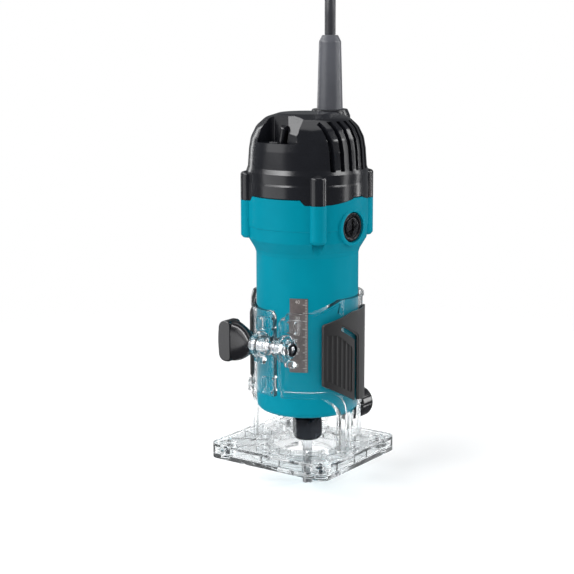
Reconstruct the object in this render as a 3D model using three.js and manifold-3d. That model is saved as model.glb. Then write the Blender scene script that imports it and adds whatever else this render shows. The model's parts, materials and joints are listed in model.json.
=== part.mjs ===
// A compact trim router: a motor unit held in a clear split base, with a winged clamp, a rear guide
// knob, a toggle switch, a collet and a straight cutter, and its power cord put away in a hank.
//
// Millimetres, +Z up. The origin is on the spindle axis, in the plane of the sole.
// -Y is the front, where the sleeve is split and clamped; +X is the right side.
import * as THREE from 'three';
import { mergeVertices } from 'three/addons/utils/BufferGeometryUtils.js';
import Module from 'manifold-3d';

const wasm = await Module();
wasm.setup();

// ---- driving dimensions -------------------------------------------------------------------------

const GAP = 0.3; // clearance between pieces that touch
const ROUND = 36; // facets of a large circle
const SMALL_ROUND = 14; // facets of a small circle

// base
// the plate's sides, as distances from the spindle axis
const PLATE = { left: 47.4, right: 42.4, front: 42.6, rear: 41, corner: 6, top: 9.6, rim: 3, deck: 3 };
const SOLE = { thick: 3, hole: 16 };
const OPENING = 23; // radius of the opening in the deck
const RIB = 1.8; // thickness of the ribs under the deck
const BOSS = { radius: 5.5, inset: 9 };
const SLEEVE = { inner: 32.95, outer: 35.2, frontTop: 100, sideTop: 107.5 };
const WINDOW = { frontTop: 46, sideTop: 36, frontEdge: -12, sideFrom: -1.8, sideTo: 24.3, rearHalf: 21 };
const SPLIT = 5;
const CLAMP = { x: 2.4, y: -41, z: 79.5, lug: 6, lugEnd: 15, bolt: 2.5, flange: 8.6, flangeAt: [8, 11] };
const GUIDE = { z: 21.2, halfWidth: 9, front: 33.4, back: 41, top: 30, stud: 3 };
const PAD = { inner: 35.5, outer: 36.8, slot: 3 };

// motor unit
const BODY = { radius: 32.4, inner: 29.5, bottom: 32, fillet: 4 };
// the flare from the body to the head: its start, the foot of the cone, its shoulder, and the head
const FLARE = [[32.4, 134], [33.2, 136.3], [37.6, 143.5], [38.3, 151]];
const HEAD = { radius: 38.3, inner: 35, split: 170.5 };
const PILLAR = { at: 37, radius: 5.25, bottom: 144, top: 186, screw: 1.9 };
const COVER_WALL = 2.6;
// the scale label: its height, and its sides as degrees round from the front towards the right
const LABEL_PLACE = { from: 62.5, to: 109, left: 15.5, right: 35.5 };
const VENT = { count: 7, pitch: 6.3, width: 2.9, bottom: 187, top: 216.8, reach: 21 };
const POCKET = { floor: 204, front: 14.5, back: 12.3, backY: -20, wall: 2.2 };
const BRUSH = { z: 152.5, turn: -7.5, cap: 9.2, capFace: 37.4, ring: 11.5, face: 38.2, floor: 33.5, hole: 7 };

// spindle
const SHAFT = { nose: 6.6, lower: 5, middle: 6, upper: 3.5, bore: 3.3 };
const ARMATURE = { radius: 17, from: 74, to: 108, slots: 12 };
const COMMUTATOR = { radius: 11, from: 144, to: 161 };
const LOWER_BEARING = { z: 36.4, width: 8, radius: 12 };
const UPPER_BEARING = { z: 175.6, width: 8, radius: 9.5 };
const NUT = { acrossFlats: 17, from: 10.9, to: 24.5 };
const BIT = { radius: 3, tip: -19.6, top: 40, flute: 22 };

// switch
const LEVER = { y: -28, z: 196, lean: 18, length: 17, width: 4.6, depth: 5 };

// cord
const CORD = { diameter: 7, heading: 34, bend: 28 };
const GUARD = { y: 25, from: 222.4, to: 268, bottomRadius: 8.2, topRadius: 7.2, neck: 7.4, collar: 11.2 };
const FLANGE = { radius: 9, from: 209, to: 212 }; // the guard's flange, held under the top cover
const HANK = { behind: 85.4, halfWidth: 28.5, halfDepth: 19.3, bottom: 27, top: 157 };
const PLUG = { x: 20, halfWidth: 13, depth: 14, from: 66, to: 104, relief: 14 };
const PIN = { radius: 2, length: 19, pitch: 18.6 };
const TIE = { from: 76, to: 90, thick: 1.5 };

// ---- materials ----------------------------------------------------------------------------------

const finish = (color, roughness, metalness = 0) =>
  new THREE.MeshStandardMaterial({ color, roughness, metalness });
const CLEAR = finish(0xdfe8ea, 0.08);
const TEAL = finish(0x00879b, 0.35);
const BLACK = finish(0x2d3037, 0.4);
const GRIP = finish(0x26282c, 0.7);
const RUBBER = finish(0x303237, 0.55);
const KNOB = finish(0x17191c, 0.35);
const STEEL = finish(0xb8bcc0, 0.3, 1);
const DARK_STEEL = finish(0x2a2c30, 0.4, 0.8);
const BRASS = finish(0xb5904a, 0.35, 1);
const COPPER = finish(0xb06a38, 0.4, 1);
const LAMINATION = finish(0x6d7074, 0.5, 0.8);
const CARBON = finish(0x1a1a1b, 0.8);
const LABEL = finish(0x695f5f, 0.5);
const NYLON = finish(0x44484c, 0.6);

// ---- solids -------------------------------------------------------------------------------------

function toSolid(geometry) {
  const bare = geometry.clone();
  bare.deleteAttribute('normal');
  bare.deleteAttribute('uv');
  const welded = mergeVertices(bare, 1e-4);
  const corners = welded.index.array;
  const kept = [];
  for (let i = 0; i < corners.length; i += 3) {
    const [a, b, c] = [corners[i], corners[i + 1], corners[i + 2]];
    if (a !== b && b !== c && c !== a) kept.push(a, b, c);
  }
  const vertProperties = new Float32Array(welded.attributes.position.array);
  return new wasm.Manifold(new wasm.Mesh({ numProp: 3, vertProperties, triVerts: new Uint32Array(kept) }));
}

function toGeometry(solid) {
  const { vertProperties, triVerts } = solid.getMesh();
  const geometry = new THREE.BufferGeometry();
  geometry.setAttribute('position', new THREE.BufferAttribute(vertProperties, 3));
  geometry.setIndex(new THREE.BufferAttribute(triVerts, 1));
  return geometry;
}

const join = (first, ...rest) => toGeometry(rest.reduce((all, g) => all.add(toSolid(g)), toSolid(first)));
const cut = (body, ...tools) =>
  toGeometry(tools.reduce((left, g) => left.subtract(toSolid(g)), toSolid(body)));
const meet = (a, b) => toGeometry(toSolid(a).intersect(toSolid(b)));

// A box from its lowest to its highest corner.
function box([x0, x1], [y0, y1], [z0, z1]) {
  const middle = [(x0 + x1) / 2, (y0 + y1) / 2, (z0 + z1) / 2];
  return new THREE.BoxGeometry(x1 - x0, y1 - y0, z1 - z0).translate(...middle);
}

// A solid turned about Z from [radius, z] points, counter-clockwise in the (radius, z) plane.
function turned(profile, facets = ROUND) {
  const points = profile.map(([r, z]) => new THREE.Vector2(r, z));
  return new THREE.LatheGeometry(points, facets).rotateX(Math.PI / 2);
}

const rod = (radius, from, to, facets = SMALL_ROUND) =>
  turned([[0, from], [radius, from], [radius, to], [0, to]], facets);

function pipe(inner, outer, from, to, facets = ROUND) {
  return turned([[inner, from], [outer, from], [outer, to], [inner, to], [inner, from]], facets);
}

// Turns a solid made along Z so that it lies along +X, or along +Y.
const alongX = (geometry) => geometry.rotateY(Math.PI / 2);
const alongY = (geometry) => geometry.rotateX(-Math.PI / 2);

function slab(shape, from, to, curveSegments = 3) {
  const settings = { depth: to - from, bevelEnabled: false, curveSegments };
  return new THREE.ExtrudeGeometry(shape, settings).translate(0, 0, from);
}

const outline = (points) => new THREE.Shape(points.map(([x, y]) => new THREE.Vector2(x, y)));

// A prism whose section is drawn in the (y, z) plane, reaching from one x to another.
function sideCut(points, from, to) {
  const drawn = slab(outline(points), from, to);
  const axes = new THREE.Matrix4().makeBasis(
    new THREE.Vector3(0, 1, 0),
    new THREE.Vector3(0, 0, 1),
    new THREE.Vector3(1, 0, 0),
  );
  return drawn.applyMatrix4(axes);
}

function roundedRectangle(width, height, radius) {
  const [x, y] = [width / 2, height / 2];
  const shape = new THREE.Shape();
  shape.moveTo(-x + radius, -y);
  shape.lineTo(x - radius, -y);
  shape.absarc(x - radius, -y + radius, radius, -Math.PI / 2, 0);
  shape.lineTo(x, y - radius);
  shape.absarc(x - radius, y - radius, radius, 0, Math.PI / 2);
  shape.lineTo(-x + radius, y);
  shape.absarc(-x + radius, y - radius, radius, Math.PI / 2, Math.PI);
  shape.lineTo(-x, -y + radius);
  shape.absarc(-x + radius, -y + radius, radius, Math.PI, Math.PI * 1.5);
  return shape;
}

// The four corners of a rectangle about the axis, and the four pillar places on the head.
const corners = (x, y) => [[x, -y], [x, y], [-x, y], [-x, -y]];
const pillars = corners(PILLAR.at * Math.SQRT1_2, PILLAR.at * Math.SQRT1_2);
const sides = [['left', -1], ['right', 1]];

const router = new THREE.Group();

function add(name, geometry, material, parent = router) {
  const mesh = new THREE.Mesh(geometry, material);
  mesh.name = name;
  parent.add(mesh);
  return mesh;
}

// ---- base ---------------------------------------------------------------------------------------

const plateMiddle = [(PLATE.right - PLATE.left) / 2, (PLATE.rear - PLATE.front) / 2];
const plateSize = [PLATE.left + PLATE.right, PLATE.front + PLATE.rear];
const screwPlaces = corners(plateSize[0] / 2 - BOSS.inset, plateSize[1] / 2 - BOSS.inset)
  .map(([x, y]) => [x + plateMiddle[0], y + plateMiddle[1]]);

// The plate's outline, drawn in by the given margin, as a slab.
function plateSlab(margin, from, to) {
  const shape = roundedRectangle(plateSize[0] - 2 * margin, plateSize[1] - 2 * margin, PLATE.corner - margin);
  return slab(shape, from, to).translate(...plateMiddle, 0);
}

function plate() {
  const underside = SOLE.thick + GAP;
  const deckBottom = PLATE.top - PLATE.deck;
  const hollowed = cut(plateSlab(0, underside, PLATE.top), plateSlab(PLATE.rim, underside - 1, deckBottom));
  const bosses = screwPlaces.map(([x, y]) => rod(BOSS.radius, underside, PLATE.top - 1).translate(x, y, 0));
  const collar = rod(OPENING + 2.5, underside, PLATE.top - 1, ROUND);
  const ribs = [
    box([1 - PLATE.left, PLATE.right - 1], [-RIB / 2, RIB / 2], [underside, deckBottom + 1]),
    box([-RIB / 2, RIB / 2], [1 - PLATE.front, PLATE.rear - 1], [underside, deckBottom + 1]),
  ];
  const opening = rod(OPENING, 0, PLATE.top + 1, ROUND);
  const holes = screwPlaces.map(([x, y]) => rod(1.8, 0, PLATE.top - 1.5, 8).translate(x, y, 0));
  return cut(join(hollowed, ...bosses, collar, ...ribs), opening, ...holes);
}

function sleeve() {
  const full = pipe(SLEEVE.inner, SLEEVE.outer, PLATE.top - 1, SLEEVE.sideTop, 48);
  const low = PLATE.top;
  const topEdge = sideCut(
    [[-60, SLEEVE.frontTop], [-27, SLEEVE.frontTop], [-12, SLEEVE.sideTop], [-12, 130], [-60, 130]],
    -60, 60,
  );
  const { frontEdge, sideTop, frontTop: archTop } = WINDOW;
  const arch = sideCut(
    [[-60, low], [frontEdge, low], [frontEdge, sideTop], [-15, 41.5], [-21, archTop], [-60, archTop]],
    -60, 60,
  );
  const sideWindows = sides.map(([, side]) => box([20 * side, 60 * side].sort((a, b) => a - b),
    [WINDOW.sideFrom, WINDOW.sideTo], [low, WINDOW.sideTop]));
  const rearWindow = box([-WINDOW.rearHalf, WINDOW.rearHalf], [15, 60], [low, WINDOW.sideTop]);
  return cut(full, topEdge, arch, ...sideWindows, rearWindow);
}

// One clamp lug, on the given side of the split, with its round flange and its web back to the sleeve.
function lug(side) {
  const near = SPLIT / 2;
  const ends = side > 0 ? [near, CLAMP.lugEnd] : [-CLAMP.lugEnd, -near];
  const [from, to] = ends.map((x) => x + CLAMP.x);
  const barrel = alongX(rod(CLAMP.lug, from, to)).translate(0, CLAMP.y, CLAMP.z);
  const web = box([from, to], [CLAMP.y, -31.5], [CLAMP.z - CLAMP.lug, CLAMP.z + CLAMP.lug]);
  const flangeEnds = CLAMP.flangeAt.map((x) => side * x + CLAMP.x).sort((a, b) => a - b);
  const flange = alongX(rod(CLAMP.flange, ...flangeEnds, 18)).translate(0, CLAMP.y, CLAMP.z);
  const across = side > 0 ? [from, from + 2.4] : [to - 2.4, to];
  const rib = box(across, [-38.4, -34], [WINDOW.frontTop, SLEEVE.frontTop]);
  return [barrel, flange, web, rib];
}

function guideBlock() {
  const { halfWidth, front, back, top } = GUIDE;
  return box([-halfWidth, halfWidth], [front, back], [PLATE.top - 1, top]);
}

function addBase() {
  const nutPocket = alongX(rod(4.9, 11, 20, 6)).translate(CLAMP.x, CLAMP.y, CLAMP.z);
  const body = join(plate(), sleeve(), ...lug(-1), ...lug(1), guideBlock());
  add('clear_base', cut(
    body,
    rod(SLEEVE.inner, PLATE.top + 0.5, 140, 48),
    box([CLAMP.x - SPLIT / 2, CLAMP.x + SPLIT / 2], [-60, -20], [WINDOW.sideTop, 140]),
    alongX(rod(CLAMP.bolt + GAP, -30, 30)).translate(0, CLAMP.y, CLAMP.z),
    nutPocket,
    alongY(rod(GUIDE.stud + GAP, 30, 60)).translate(0, 0, GUIDE.z),
  ), CLEAR);

  const sinkProfile = [[0, -1], [3.5, -1], [3.5, 0.8], [1.8, 2.4], [1.8, 4], [0, 4]];
  const sinks = screwPlaces.map(([x, y]) => turned(sinkProfile, 10).translate(x, y, 0));
  add('sole_plate', cut(plateSlab(0, 0, SOLE.thick), rod(SOLE.hole, -1, 5, ROUND), ...sinks), CLEAR);

  screwPlaces.forEach(([x, y], i) => {
    const profile = [[0, 0.3], [3.1, 0.3], [3.1, 0.7], [1.45, 2.3], [1.45, 7.4], [0, 7.4]];
    add(`sole_screw_${i + 1}`, turned(profile, 8), DARK_STEEL).position.set(x, y, 0);
  });
}

function addGrips() {
  const ring = pipe(PAD.inner, PAD.outer, 30, 110, 48);
  const face = [[-23.1, 54], [-0.6, 41.6], [23.1, 38], [23.1, 99], [-3, 99], [-23.1, 93]];
  const half = PAD.slot / 2;
  const slot = [
    [-11.5, 91], [1 + half, 82.5], [1.5 + half, 30],
    [1.5 - half, 30], [1 - half, 80.5], [-12.5, 88],
  ];
  for (const [name, side] of sides) {
    const [from, to] = side > 0 ? [15, 60] : [-60, -15];
    add(`${name}_grip_pad`, cut(meet(ring, sideCut(face, from, to)), sideCut(slot, from, to)), GRIP);
  }
}

function addClamp() {
  const clamp = new THREE.Group();
  clamp.position.set(CLAMP.x, CLAMP.y, CLAMP.z);
  router.add(clamp);
  const flatNut = cut(rod(4.5, 11.4, 16, 6), rod(CLAMP.bolt + GAP, 10, 17, 12));
  add('clamp_nut', alongX(flatNut), DARK_STEEL, clamp);
  add('clamp_bolt', alongX(rod(CLAMP.bolt, -26, 16.6, 12)), STEEL, clamp);
  const neck = 15.4;
  const upperEdge = [[-neck, 5.4], [-17, 7.2], [-21, 9.8], [-25, 12], [-29, 13], [-36.8, 12.9], [-38.6, 11]];
  const lowerEdge = upperEdge.map(([x, z]) => [x, -z]).reverse();
  const wing = outline([...upperEdge, ...lowerEdge]);
  const flat = slab(wing, -4.8, 4.8).rotateX(Math.PI / 2);
  const hub = alongX(rod(6.2, -30, -neck, 16));
  const boltHole = alongX(rod(CLAMP.bolt + GAP, -26.4, 0, 12));
  add('clamp_knob', cut(join(flat, hub), boltHole), KNOB, clamp);
}

function addGuideKnob() {
  const guide = new THREE.Group();
  guide.position.set(0, 0, GUIDE.z);
  router.add(guide);
  const knob = turned([[0, 48], [7.5, 48], [10.6, 51.5], [10.6, 63], [9, 65], [0, 65]], 24);
  const bore = rod(GUIDE.stud + GAP, 40, 57, 12);
  add('guide_stud', alongY(rod(GUIDE.stud, 34.2, 56.6, 12)), STEEL, guide);
  add('guide_knob', alongY(cut(knob, bore)), KNOB, guide);
}

// ---- motor unit ---------------------------------------------------------------------------------

function addMotorHousing() {
  const { radius, inner, bottom, fillet } = BODY;
  const shell = turned([
    [10.3, bottom], [radius - fillet, bottom], [radius - fillet * 0.3, bottom + fillet * 0.3],
    [radius, bottom + fillet], ...FLARE, [HEAD.radius, HEAD.split],
    [HEAD.inner, HEAD.split], [HEAD.inner, 147], [inner, 138], [inner, bottom + 4],
    [10.3, bottom + 4], [10.3, bottom],
  ]);
  const seat = pipe(LOWER_BEARING.radius + GAP, LOWER_BEARING.radius + 3, bottom + 3, bottom + 13, 24);
  const posts = pillars.map(([x, y]) => rod(PILLAR.radius, PILLAR.bottom, HEAD.split, 12).translate(x, y, 0));
  const brushTurn = THREE.MathUtils.degToRad(BRUSH.turn);
  const onBothSides = (radius, from, to) => sides.map(([, side]) =>
    alongX(rod(radius, from, to, 24)).scale(side, side, 1).rotateZ(brushTurn).translate(0, 0, BRUSH.z));
  const rings = onBothSides(BRUSH.ring, 30, BRUSH.face);
  const capSeats = onBothSides(BRUSH.cap + 0.5, BRUSH.floor, 50);
  const brushHoles = alongX(rod(BRUSH.hole, -50, 50, 12)).rotateZ(brushTurn).translate(0, 0, BRUSH.z);
  const screwHoles = pillars.map(([x, y]) => rod(PILLAR.screw + GAP, 140, 175, 8).translate(x, y, 0));
  const headSinks = pillars.map(([x, y]) => rod(3.6, 134, 147.2, 10).translate(x, y, 0));
  add('motor_housing', cut(
    join(shell, seat, ...posts, ...rings), ...capSeats, brushHoles, ...screwHoles, ...headSinks,
  ), TEAL);
}

const domeProfile = [
  [HEAD.radius, 186], [37, 190.5], [36.5, 199], [35.2, 206], [32, 212.6], [26, 218], [17, 221],
];

function addTopCover() {
  const from = HEAD.split + GAP;
  const outer = turned([[0, from], [HEAD.radius, from], ...domeProfile, [0, 221.3]]);
  const inside = domeProfile.slice(1).map(([r, z]) => [r - COVER_WALL, z - COVER_WALL * (z > 200 ? 0.9 : 0)]);
  const inner = turned([[0, from - 1], [HEAD.inner, from - 1], [HEAD.inner, 184], ...inside, [0, 218.6]]);
  const shell = cut(outer, inner);
  const { radius, top } = PILLAR;
  const postProfile = [[0, from], [radius, from], [radius, top - 3], [radius - 1.5, top - 0.5], [0, top]];
  const posts = pillars.map(([x, y]) => turned(postProfile, 12).translate(x, y, 0));
  const collar = rod(GUARD.collar, 205, GUARD.from - 0.6, 20).translate(0, GUARD.y, 0);
  const reach = HEAD.radius * 2;
  const { front, back, backY, wall, floor } = POCKET;
  const tray = meet(outer, box([-front - wall, front + wall], [-reach, backY + wall], [floor - wall, 230]));
  const pocketPlan = [
    [-front, -reach], [front, -reach], [front, -31],
    [back, backY], [-back, backY], [-front, -31],
  ];
  const pocket = slab(outline(pocketPlan), floor, 240);
  const slot = box([-8, 8], [LEVER.y - 3.2, LEVER.y + 3.2], [floor - 5, floor + 1]);
  const vents = [];
  for (let i = 0; i < VENT.count; i += 1) {
    const y = (i - (VENT.count - 1) / 2) * VENT.pitch;
    for (const [, side] of sides) {
      const [x0, x1] = side > 0 ? [VENT.reach, 60] : [-60, -VENT.reach];
      vents.push(box([x0, x1], [y - VENT.width / 2, y + VENT.width / 2], [VENT.bottom, VENT.top]));
    }
  }
  const [flangeHole, neckHole, ledge] = [FLANGE.radius + GAP, GUARD.neck + GAP + 0.1, FLANGE.to + GAP];
  const guardHole = turned(
    [[0, 200], [flangeHole, 200], [flangeHole, ledge], [neckHole, ledge], [neckHole, 240], [0, 240]], 16,
  ).translate(0, GUARD.y, 0);
  const screwHoles = pillars.map(([x, y]) => rod(PILLAR.screw + GAP, 160, 176, 8).translate(x, y, 0));
  add('top_cover', cut(
    join(shell, ...posts, collar, tray), pocket, slot, ...vents, guardHole, ...screwHoles,
  ), BLACK);
}

function addCoverScrews() {
  pillars.forEach(([x, y], i) => {
    const [from, headTop, to] = [144.4, 146.9, 175.4];
    const head = [[0, from], [3.2, from], [3.2, headTop]];
    const profile = [...head, [PILLAR.screw, headTop], [PILLAR.screw, to], [0, to]];
    add(`cover_screw_${i + 1}`, turned(profile, 8), STEEL).position.set(x, y, 0);
  });
}

function addScaleLabel() {
  const ring = pipe(BODY.radius + 0.12, BODY.radius + 0.4, LABEL_PLACE.from, LABEL_PLACE.to, 108);
  const span = new THREE.Shape();
  span.moveTo(0, 0);
  for (const degrees of [LABEL_PLACE.left, LABEL_PLACE.right]) {
    const azimuth = THREE.MathUtils.degToRad(degrees);
    span.lineTo(60 * Math.sin(azimuth), -60 * Math.cos(azimuth));
  }
  add('scale_label', meet(ring, slab(span, LABEL_PLACE.from - 1, LABEL_PLACE.to + 1)), LABEL);
}

function brushParts(name, side) {
  const group = new THREE.Group();
  group.position.z = BRUSH.z;
  group.rotation.z = THREE.MathUtils.degToRad(side > 0 ? BRUSH.turn : BRUSH.turn + 180);
  router.add(group);

  const disc = rod(BRUSH.cap, BRUSH.floor + GAP, BRUSH.capFace, 24);
  const stem = rod(5.5, 31.6, BRUSH.floor + 1, 12);
  const slot = box([-0.9, 0.9], [-4.4, 4.4], [BRUSH.capFace - 1.5, 40]);
  add(`brush_cap_${name}`, alongX(cut(join(disc, stem), slot)), BLACK, group);

  const tube = cut(box([13, 31.2], [-4.6, 4.6], [-4.6, 4.6]), box([10, 40], [-3.6, 3.6], [-3.6, 3.6]));
  add(`brush_holder_${name}`, tube, BRASS, group);
  add(`carbon_brush_${name}`, box([11.4, 22], [-3.2, 3.2], [-3.2, 3.2]), CARBON, group);

  const turns = 5;
  const points = [];
  for (let i = 0; i <= turns * 8; i += 1) {
    const angle = (i / 8) * 2 * Math.PI;
    const along = 22.8 + (i / (turns * 8)) * 7.8;
    points.push(new THREE.Vector3(along, 2.4 * Math.cos(angle), 2.4 * Math.sin(angle)));
  }
  const wire = new THREE.Shape();
  wire.absarc(0, 0, 0.4, 0, 2 * Math.PI);
  const coil = new THREE.CatmullRomCurve3(points);
  const settings = { extrudePath: coil, steps: turns * 8, bevelEnabled: false, curveSegments: 2 };
  add(`brush_spring_${name}`, new THREE.ExtrudeGeometry(wire, settings), STEEL, group);
}

function addStator() {
  const from = 72;
  const to = 110;
  const yoke = pipe(25.2, 28.5, from, to);
  const shoeRing = pipe(17.6, 19, from, to);
  const parts = [];
  for (const [, side] of sides) {
    const [x0, x1] = side > 0 ? [5, 19.5] : [-19.5, -5];
    parts.push(meet(shoeRing, box([x0, x1], [-13, 13], [from, to])));
    const [n0, n1] = side > 0 ? [18, 26] : [-26, -18];
    parts.push(box([n0, n1], [-6, 6], [from, to]));
  }
  add('field_core', join(yoke, ...parts), LAMINATION);
  for (const [name, side] of sides) {
    const [x0, x1] = side > 0 ? [19.4, 22.2] : [-22.2, -19.4];
    const window = box([x0 - 1, x1 + 1], [-6.4, 6.4], [from - 0.4, to + 0.4]);
    const loop = cut(box([x0, x1], [-10.8, 10.8], [from - 6, to + 6]), window);
    add(`field_coil_${name}`, loop, COPPER);
  }
}

function addBearings() {
  const lower = LOWER_BEARING;
  const upper = UPPER_BEARING;
  add('lower_bearing', pipe(SHAFT.lower + GAP, lower.radius, lower.z, lower.z + lower.width, 20), STEEL);
  const seat = lower.z + lower.width;
  add('bearing_retainer', pipe(8, lower.radius - 0.2, seat + GAP, seat + 2, 20), DARK_STEEL);
  add('upper_bearing', pipe(SHAFT.upper + GAP, upper.radius, upper.z, upper.z + upper.width, 16), STEEL);
  const disc = pipe(SHAFT.upper + 1.5, PILLAR.at - PILLAR.radius - 0.4, 170, 173);
  const cup = pipe(upper.radius + GAP, upper.radius + 2.6, 172, upper.z + upper.width, 16);
  const airHoles = [0, 1, 2, 3, 4, 5].map((k) =>
    rod(6.4, 160, 174, 8).translate(22.5, 0, 0).rotateZ((k * Math.PI) / 3));
  add('bearing_bridge', cut(join(disc, cup), ...airHoles), NYLON);
  add('air_baffle', pipe(21, BODY.inner - 0.6, 60, 62.5, 24), NYLON);
}

// ---- spindle ------------------------------------------------------------------------------------

function addSpindle() {
  const { nose, lower, middle, upper, bore } = SHAFT;
  add('armature_shaft', turned([
    [bore, 24], [5.4, 23.6], [5.4, 16], [nose, 16], [nose, 25.4], [8.2, 25.4], [8.2, 31],
    [lower, 31.4], [lower, 46], [middle, 47], [middle, 165], [upper, 166], [upper, 185],
    [0, 185], [0, 44], [bore, 42], [bore, 24],
  ], 16), DARK_STEEL);

  const { radius, from, to, slots } = ARMATURE;
  const tooth = [];
  for (let i = 0; i < slots; i += 1) {
    const start = (i / slots) * 2 * Math.PI;
    for (const [r, turn] of [[radius, 0.07], [radius, 0.24], [radius, 0.42], [11.5, 0.36], [11.5, 0.13]]) {
      tooth.push([r * Math.cos(start + turn), r * Math.sin(start + turn)]);
    }
  }
  const laminations = slab(outline(tooth), from, to);
  add('armature_core', cut(laminations, rod(middle + GAP, from - 1, to + 1, 16)), LAMINATION);
  const clear = middle + GAP;
  const bell = (a, b) => turned(
    [[clear, a], [13, a], [14.5, (a + b) / 2], [12, b], [clear, b], [clear, a]], 16,
  );
  add('armature_winding_lower', bell(64, from - GAP), COPPER);
  add('armature_winding_upper', bell(to + GAP, 119), COPPER);
  add('commutator', pipe(middle + GAP, COMMUTATOR.radius, COMMUTATOR.from, COMMUTATOR.to, 20), COPPER);

  const hub = pipe(middle + GAP, 10, 49, 59, 16);
  const disc = pipe(8, 26, 49, 50.6, 24);
  const blades = [];
  for (let i = 0; i < 9; i += 1) {
    blades.push(box([9, 25.4], [-0.8, 0.8], [50, 58.6]).rotateZ((i / 9) * 2 * Math.PI));
  }
  add('cooling_fan', join(hub, disc, ...blades), NYLON);

  add('collet_cone', pipe(BIT.radius + GAP, 5.1, 13.5, 23.2, 16), STEEL);
}

function addCollet() {
  const corner = NUT.acrossFlats / Math.sqrt(3);
  const { from, to } = NUT;
  const chamfer = turned([[0, 10], [7.6, from], [10.4, from + 2], [10.4, to - 1.2], [8.8, to], [0, to]], 24);
  const hex = rod(corner, from, to, 6);
  const mouth = BIT.radius + GAP + 0.2;
  const bore = turned([[0, 0], [mouth, 0], [mouth, 13], [7, 13.2], [7, 40], [0, 40]], 16);
  add('collet_nut', cut(meet(hex, chamfer), bore), DARK_STEEL);

  const { radius, tip, top, flute } = BIT;
  const shank = rod(radius, tip, top, 16);
  const gullets = [0, 1].map((k) => box([0.7, 5], [-5, -0.4], [tip - 1, tip + flute]).rotateZ(k * Math.PI));
  add('cutter_bit', cut(shank, ...gullets), STEEL);
}

// ---- switch -------------------------------------------------------------------------------------

function addSwitch() {
  const { y, z, lean, length, width, depth } = LEVER;
  const block = box([-9, 9], [-31, -13], [186, 199]);
  add('switch_body', cut(block, box([-5.6, 5.6], [y - 2.8, y + 2.8], [190.5, 205])), NYLON);

  const half = width / 2;
  const side = new THREE.Shape();
  side.moveTo(-half, -3);
  side.lineTo(half, -3);
  side.lineTo(half, length - half);
  side.absarc(0, length - half, half, 0, Math.PI);
  const lever = slab(side, -depth / 2, depth / 2, 6).rotateX(Math.PI / 2);
  const mesh = add('switch_lever', lever, KNOB);
  mesh.position.set(0, y, z);
  mesh.rotation.y = THREE.MathUtils.degToRad(lean);
}

// ---- cord ---------------------------------------------------------------------------------------

// The cord's own frame is turned about the spindle axis: x is across it, y is away from the motor
// unit towards the left rear, z is up. The guard's top is the start of the route.
function cordRoute() {
  const turn = THREE.MathUtils.degToRad(CORD.heading);
  const exit = [GUARD.y * Math.sin(turn), GUARD.y * Math.cos(turn)];
  const fold = HANK.halfWidth - CORD.diameter / 2 - 0.5;
  const near = HANK.behind - HANK.halfDepth + CORD.diameter / 2 + 0.5;
  const points = [[exit[0], exit[1], GUARD.to + GAP], [exit[0], exit[1], 276]];
  for (let i = 0; i <= 6; i += 1) {
    const angle = (i / 6) * Math.PI;
    points.push([exit[0], exit[1] + CORD.bend * (1 - Math.cos(angle)), 284 + CORD.bend * Math.sin(angle)]);
  }
  const far = exit[1] + 2 * CORD.bend;
  points.push(
    [exit[0], far, 262],
    [exit[0], far, 240],
    [exit[0] + 0.8, far - 0.4, 220],
    [(exit[0] + fold) / 2, (far + near) / 2, 198],
    [fold - 0.8, near + 0.4, 176],
    [fold, near, 160],
    [fold, near, 149],
  );
  return new THREE.CatmullRomCurve3(points.map((p) => new THREE.Vector3(...p)), false, 'centripetal');
}

function cordTube(path, steps) {
  const section = new THREE.Shape();
  section.absarc(0, 0, CORD.diameter / 2, 0, 2 * Math.PI);
  const settings = { extrudePath: path, steps, bevelEnabled: false, curveSegments: 5 };
  return new THREE.ExtrudeGeometry(section, settings);
}

function addCordGuard() {
  const { from, to, bottomRadius, topRadius, neck } = GUARD;
  add('cord_guard', turned([
    [0, FLANGE.from], [FLANGE.radius, FLANGE.from], [FLANGE.radius, FLANGE.to], [neck, FLANGE.to],
    [neck, from - 0.6], [bottomRadius, from - 0.3], [bottomRadius - 0.4, 236],
    [topRadius, to - 8], [topRadius - 0.5, to - 2], [topRadius - 2.2, to], [0, to],
  ], 16), RUBBER).position.set(0, GUARD.y, 0);
  add('inner_lead', rod(CORD.diameter / 2, 190, 208.6, 12), RUBBER).position.set(0, GUARD.y, 0);
  const bar = box([-9, 9], [-8.5, -0.6], [195, 201]);
  const groove = rod(CORD.diameter / 2 + GAP, 190, 205, 12);
  add('cord_clamp', cut(bar, groove), NYLON).position.set(0, GUARD.y, 0);
}

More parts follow.
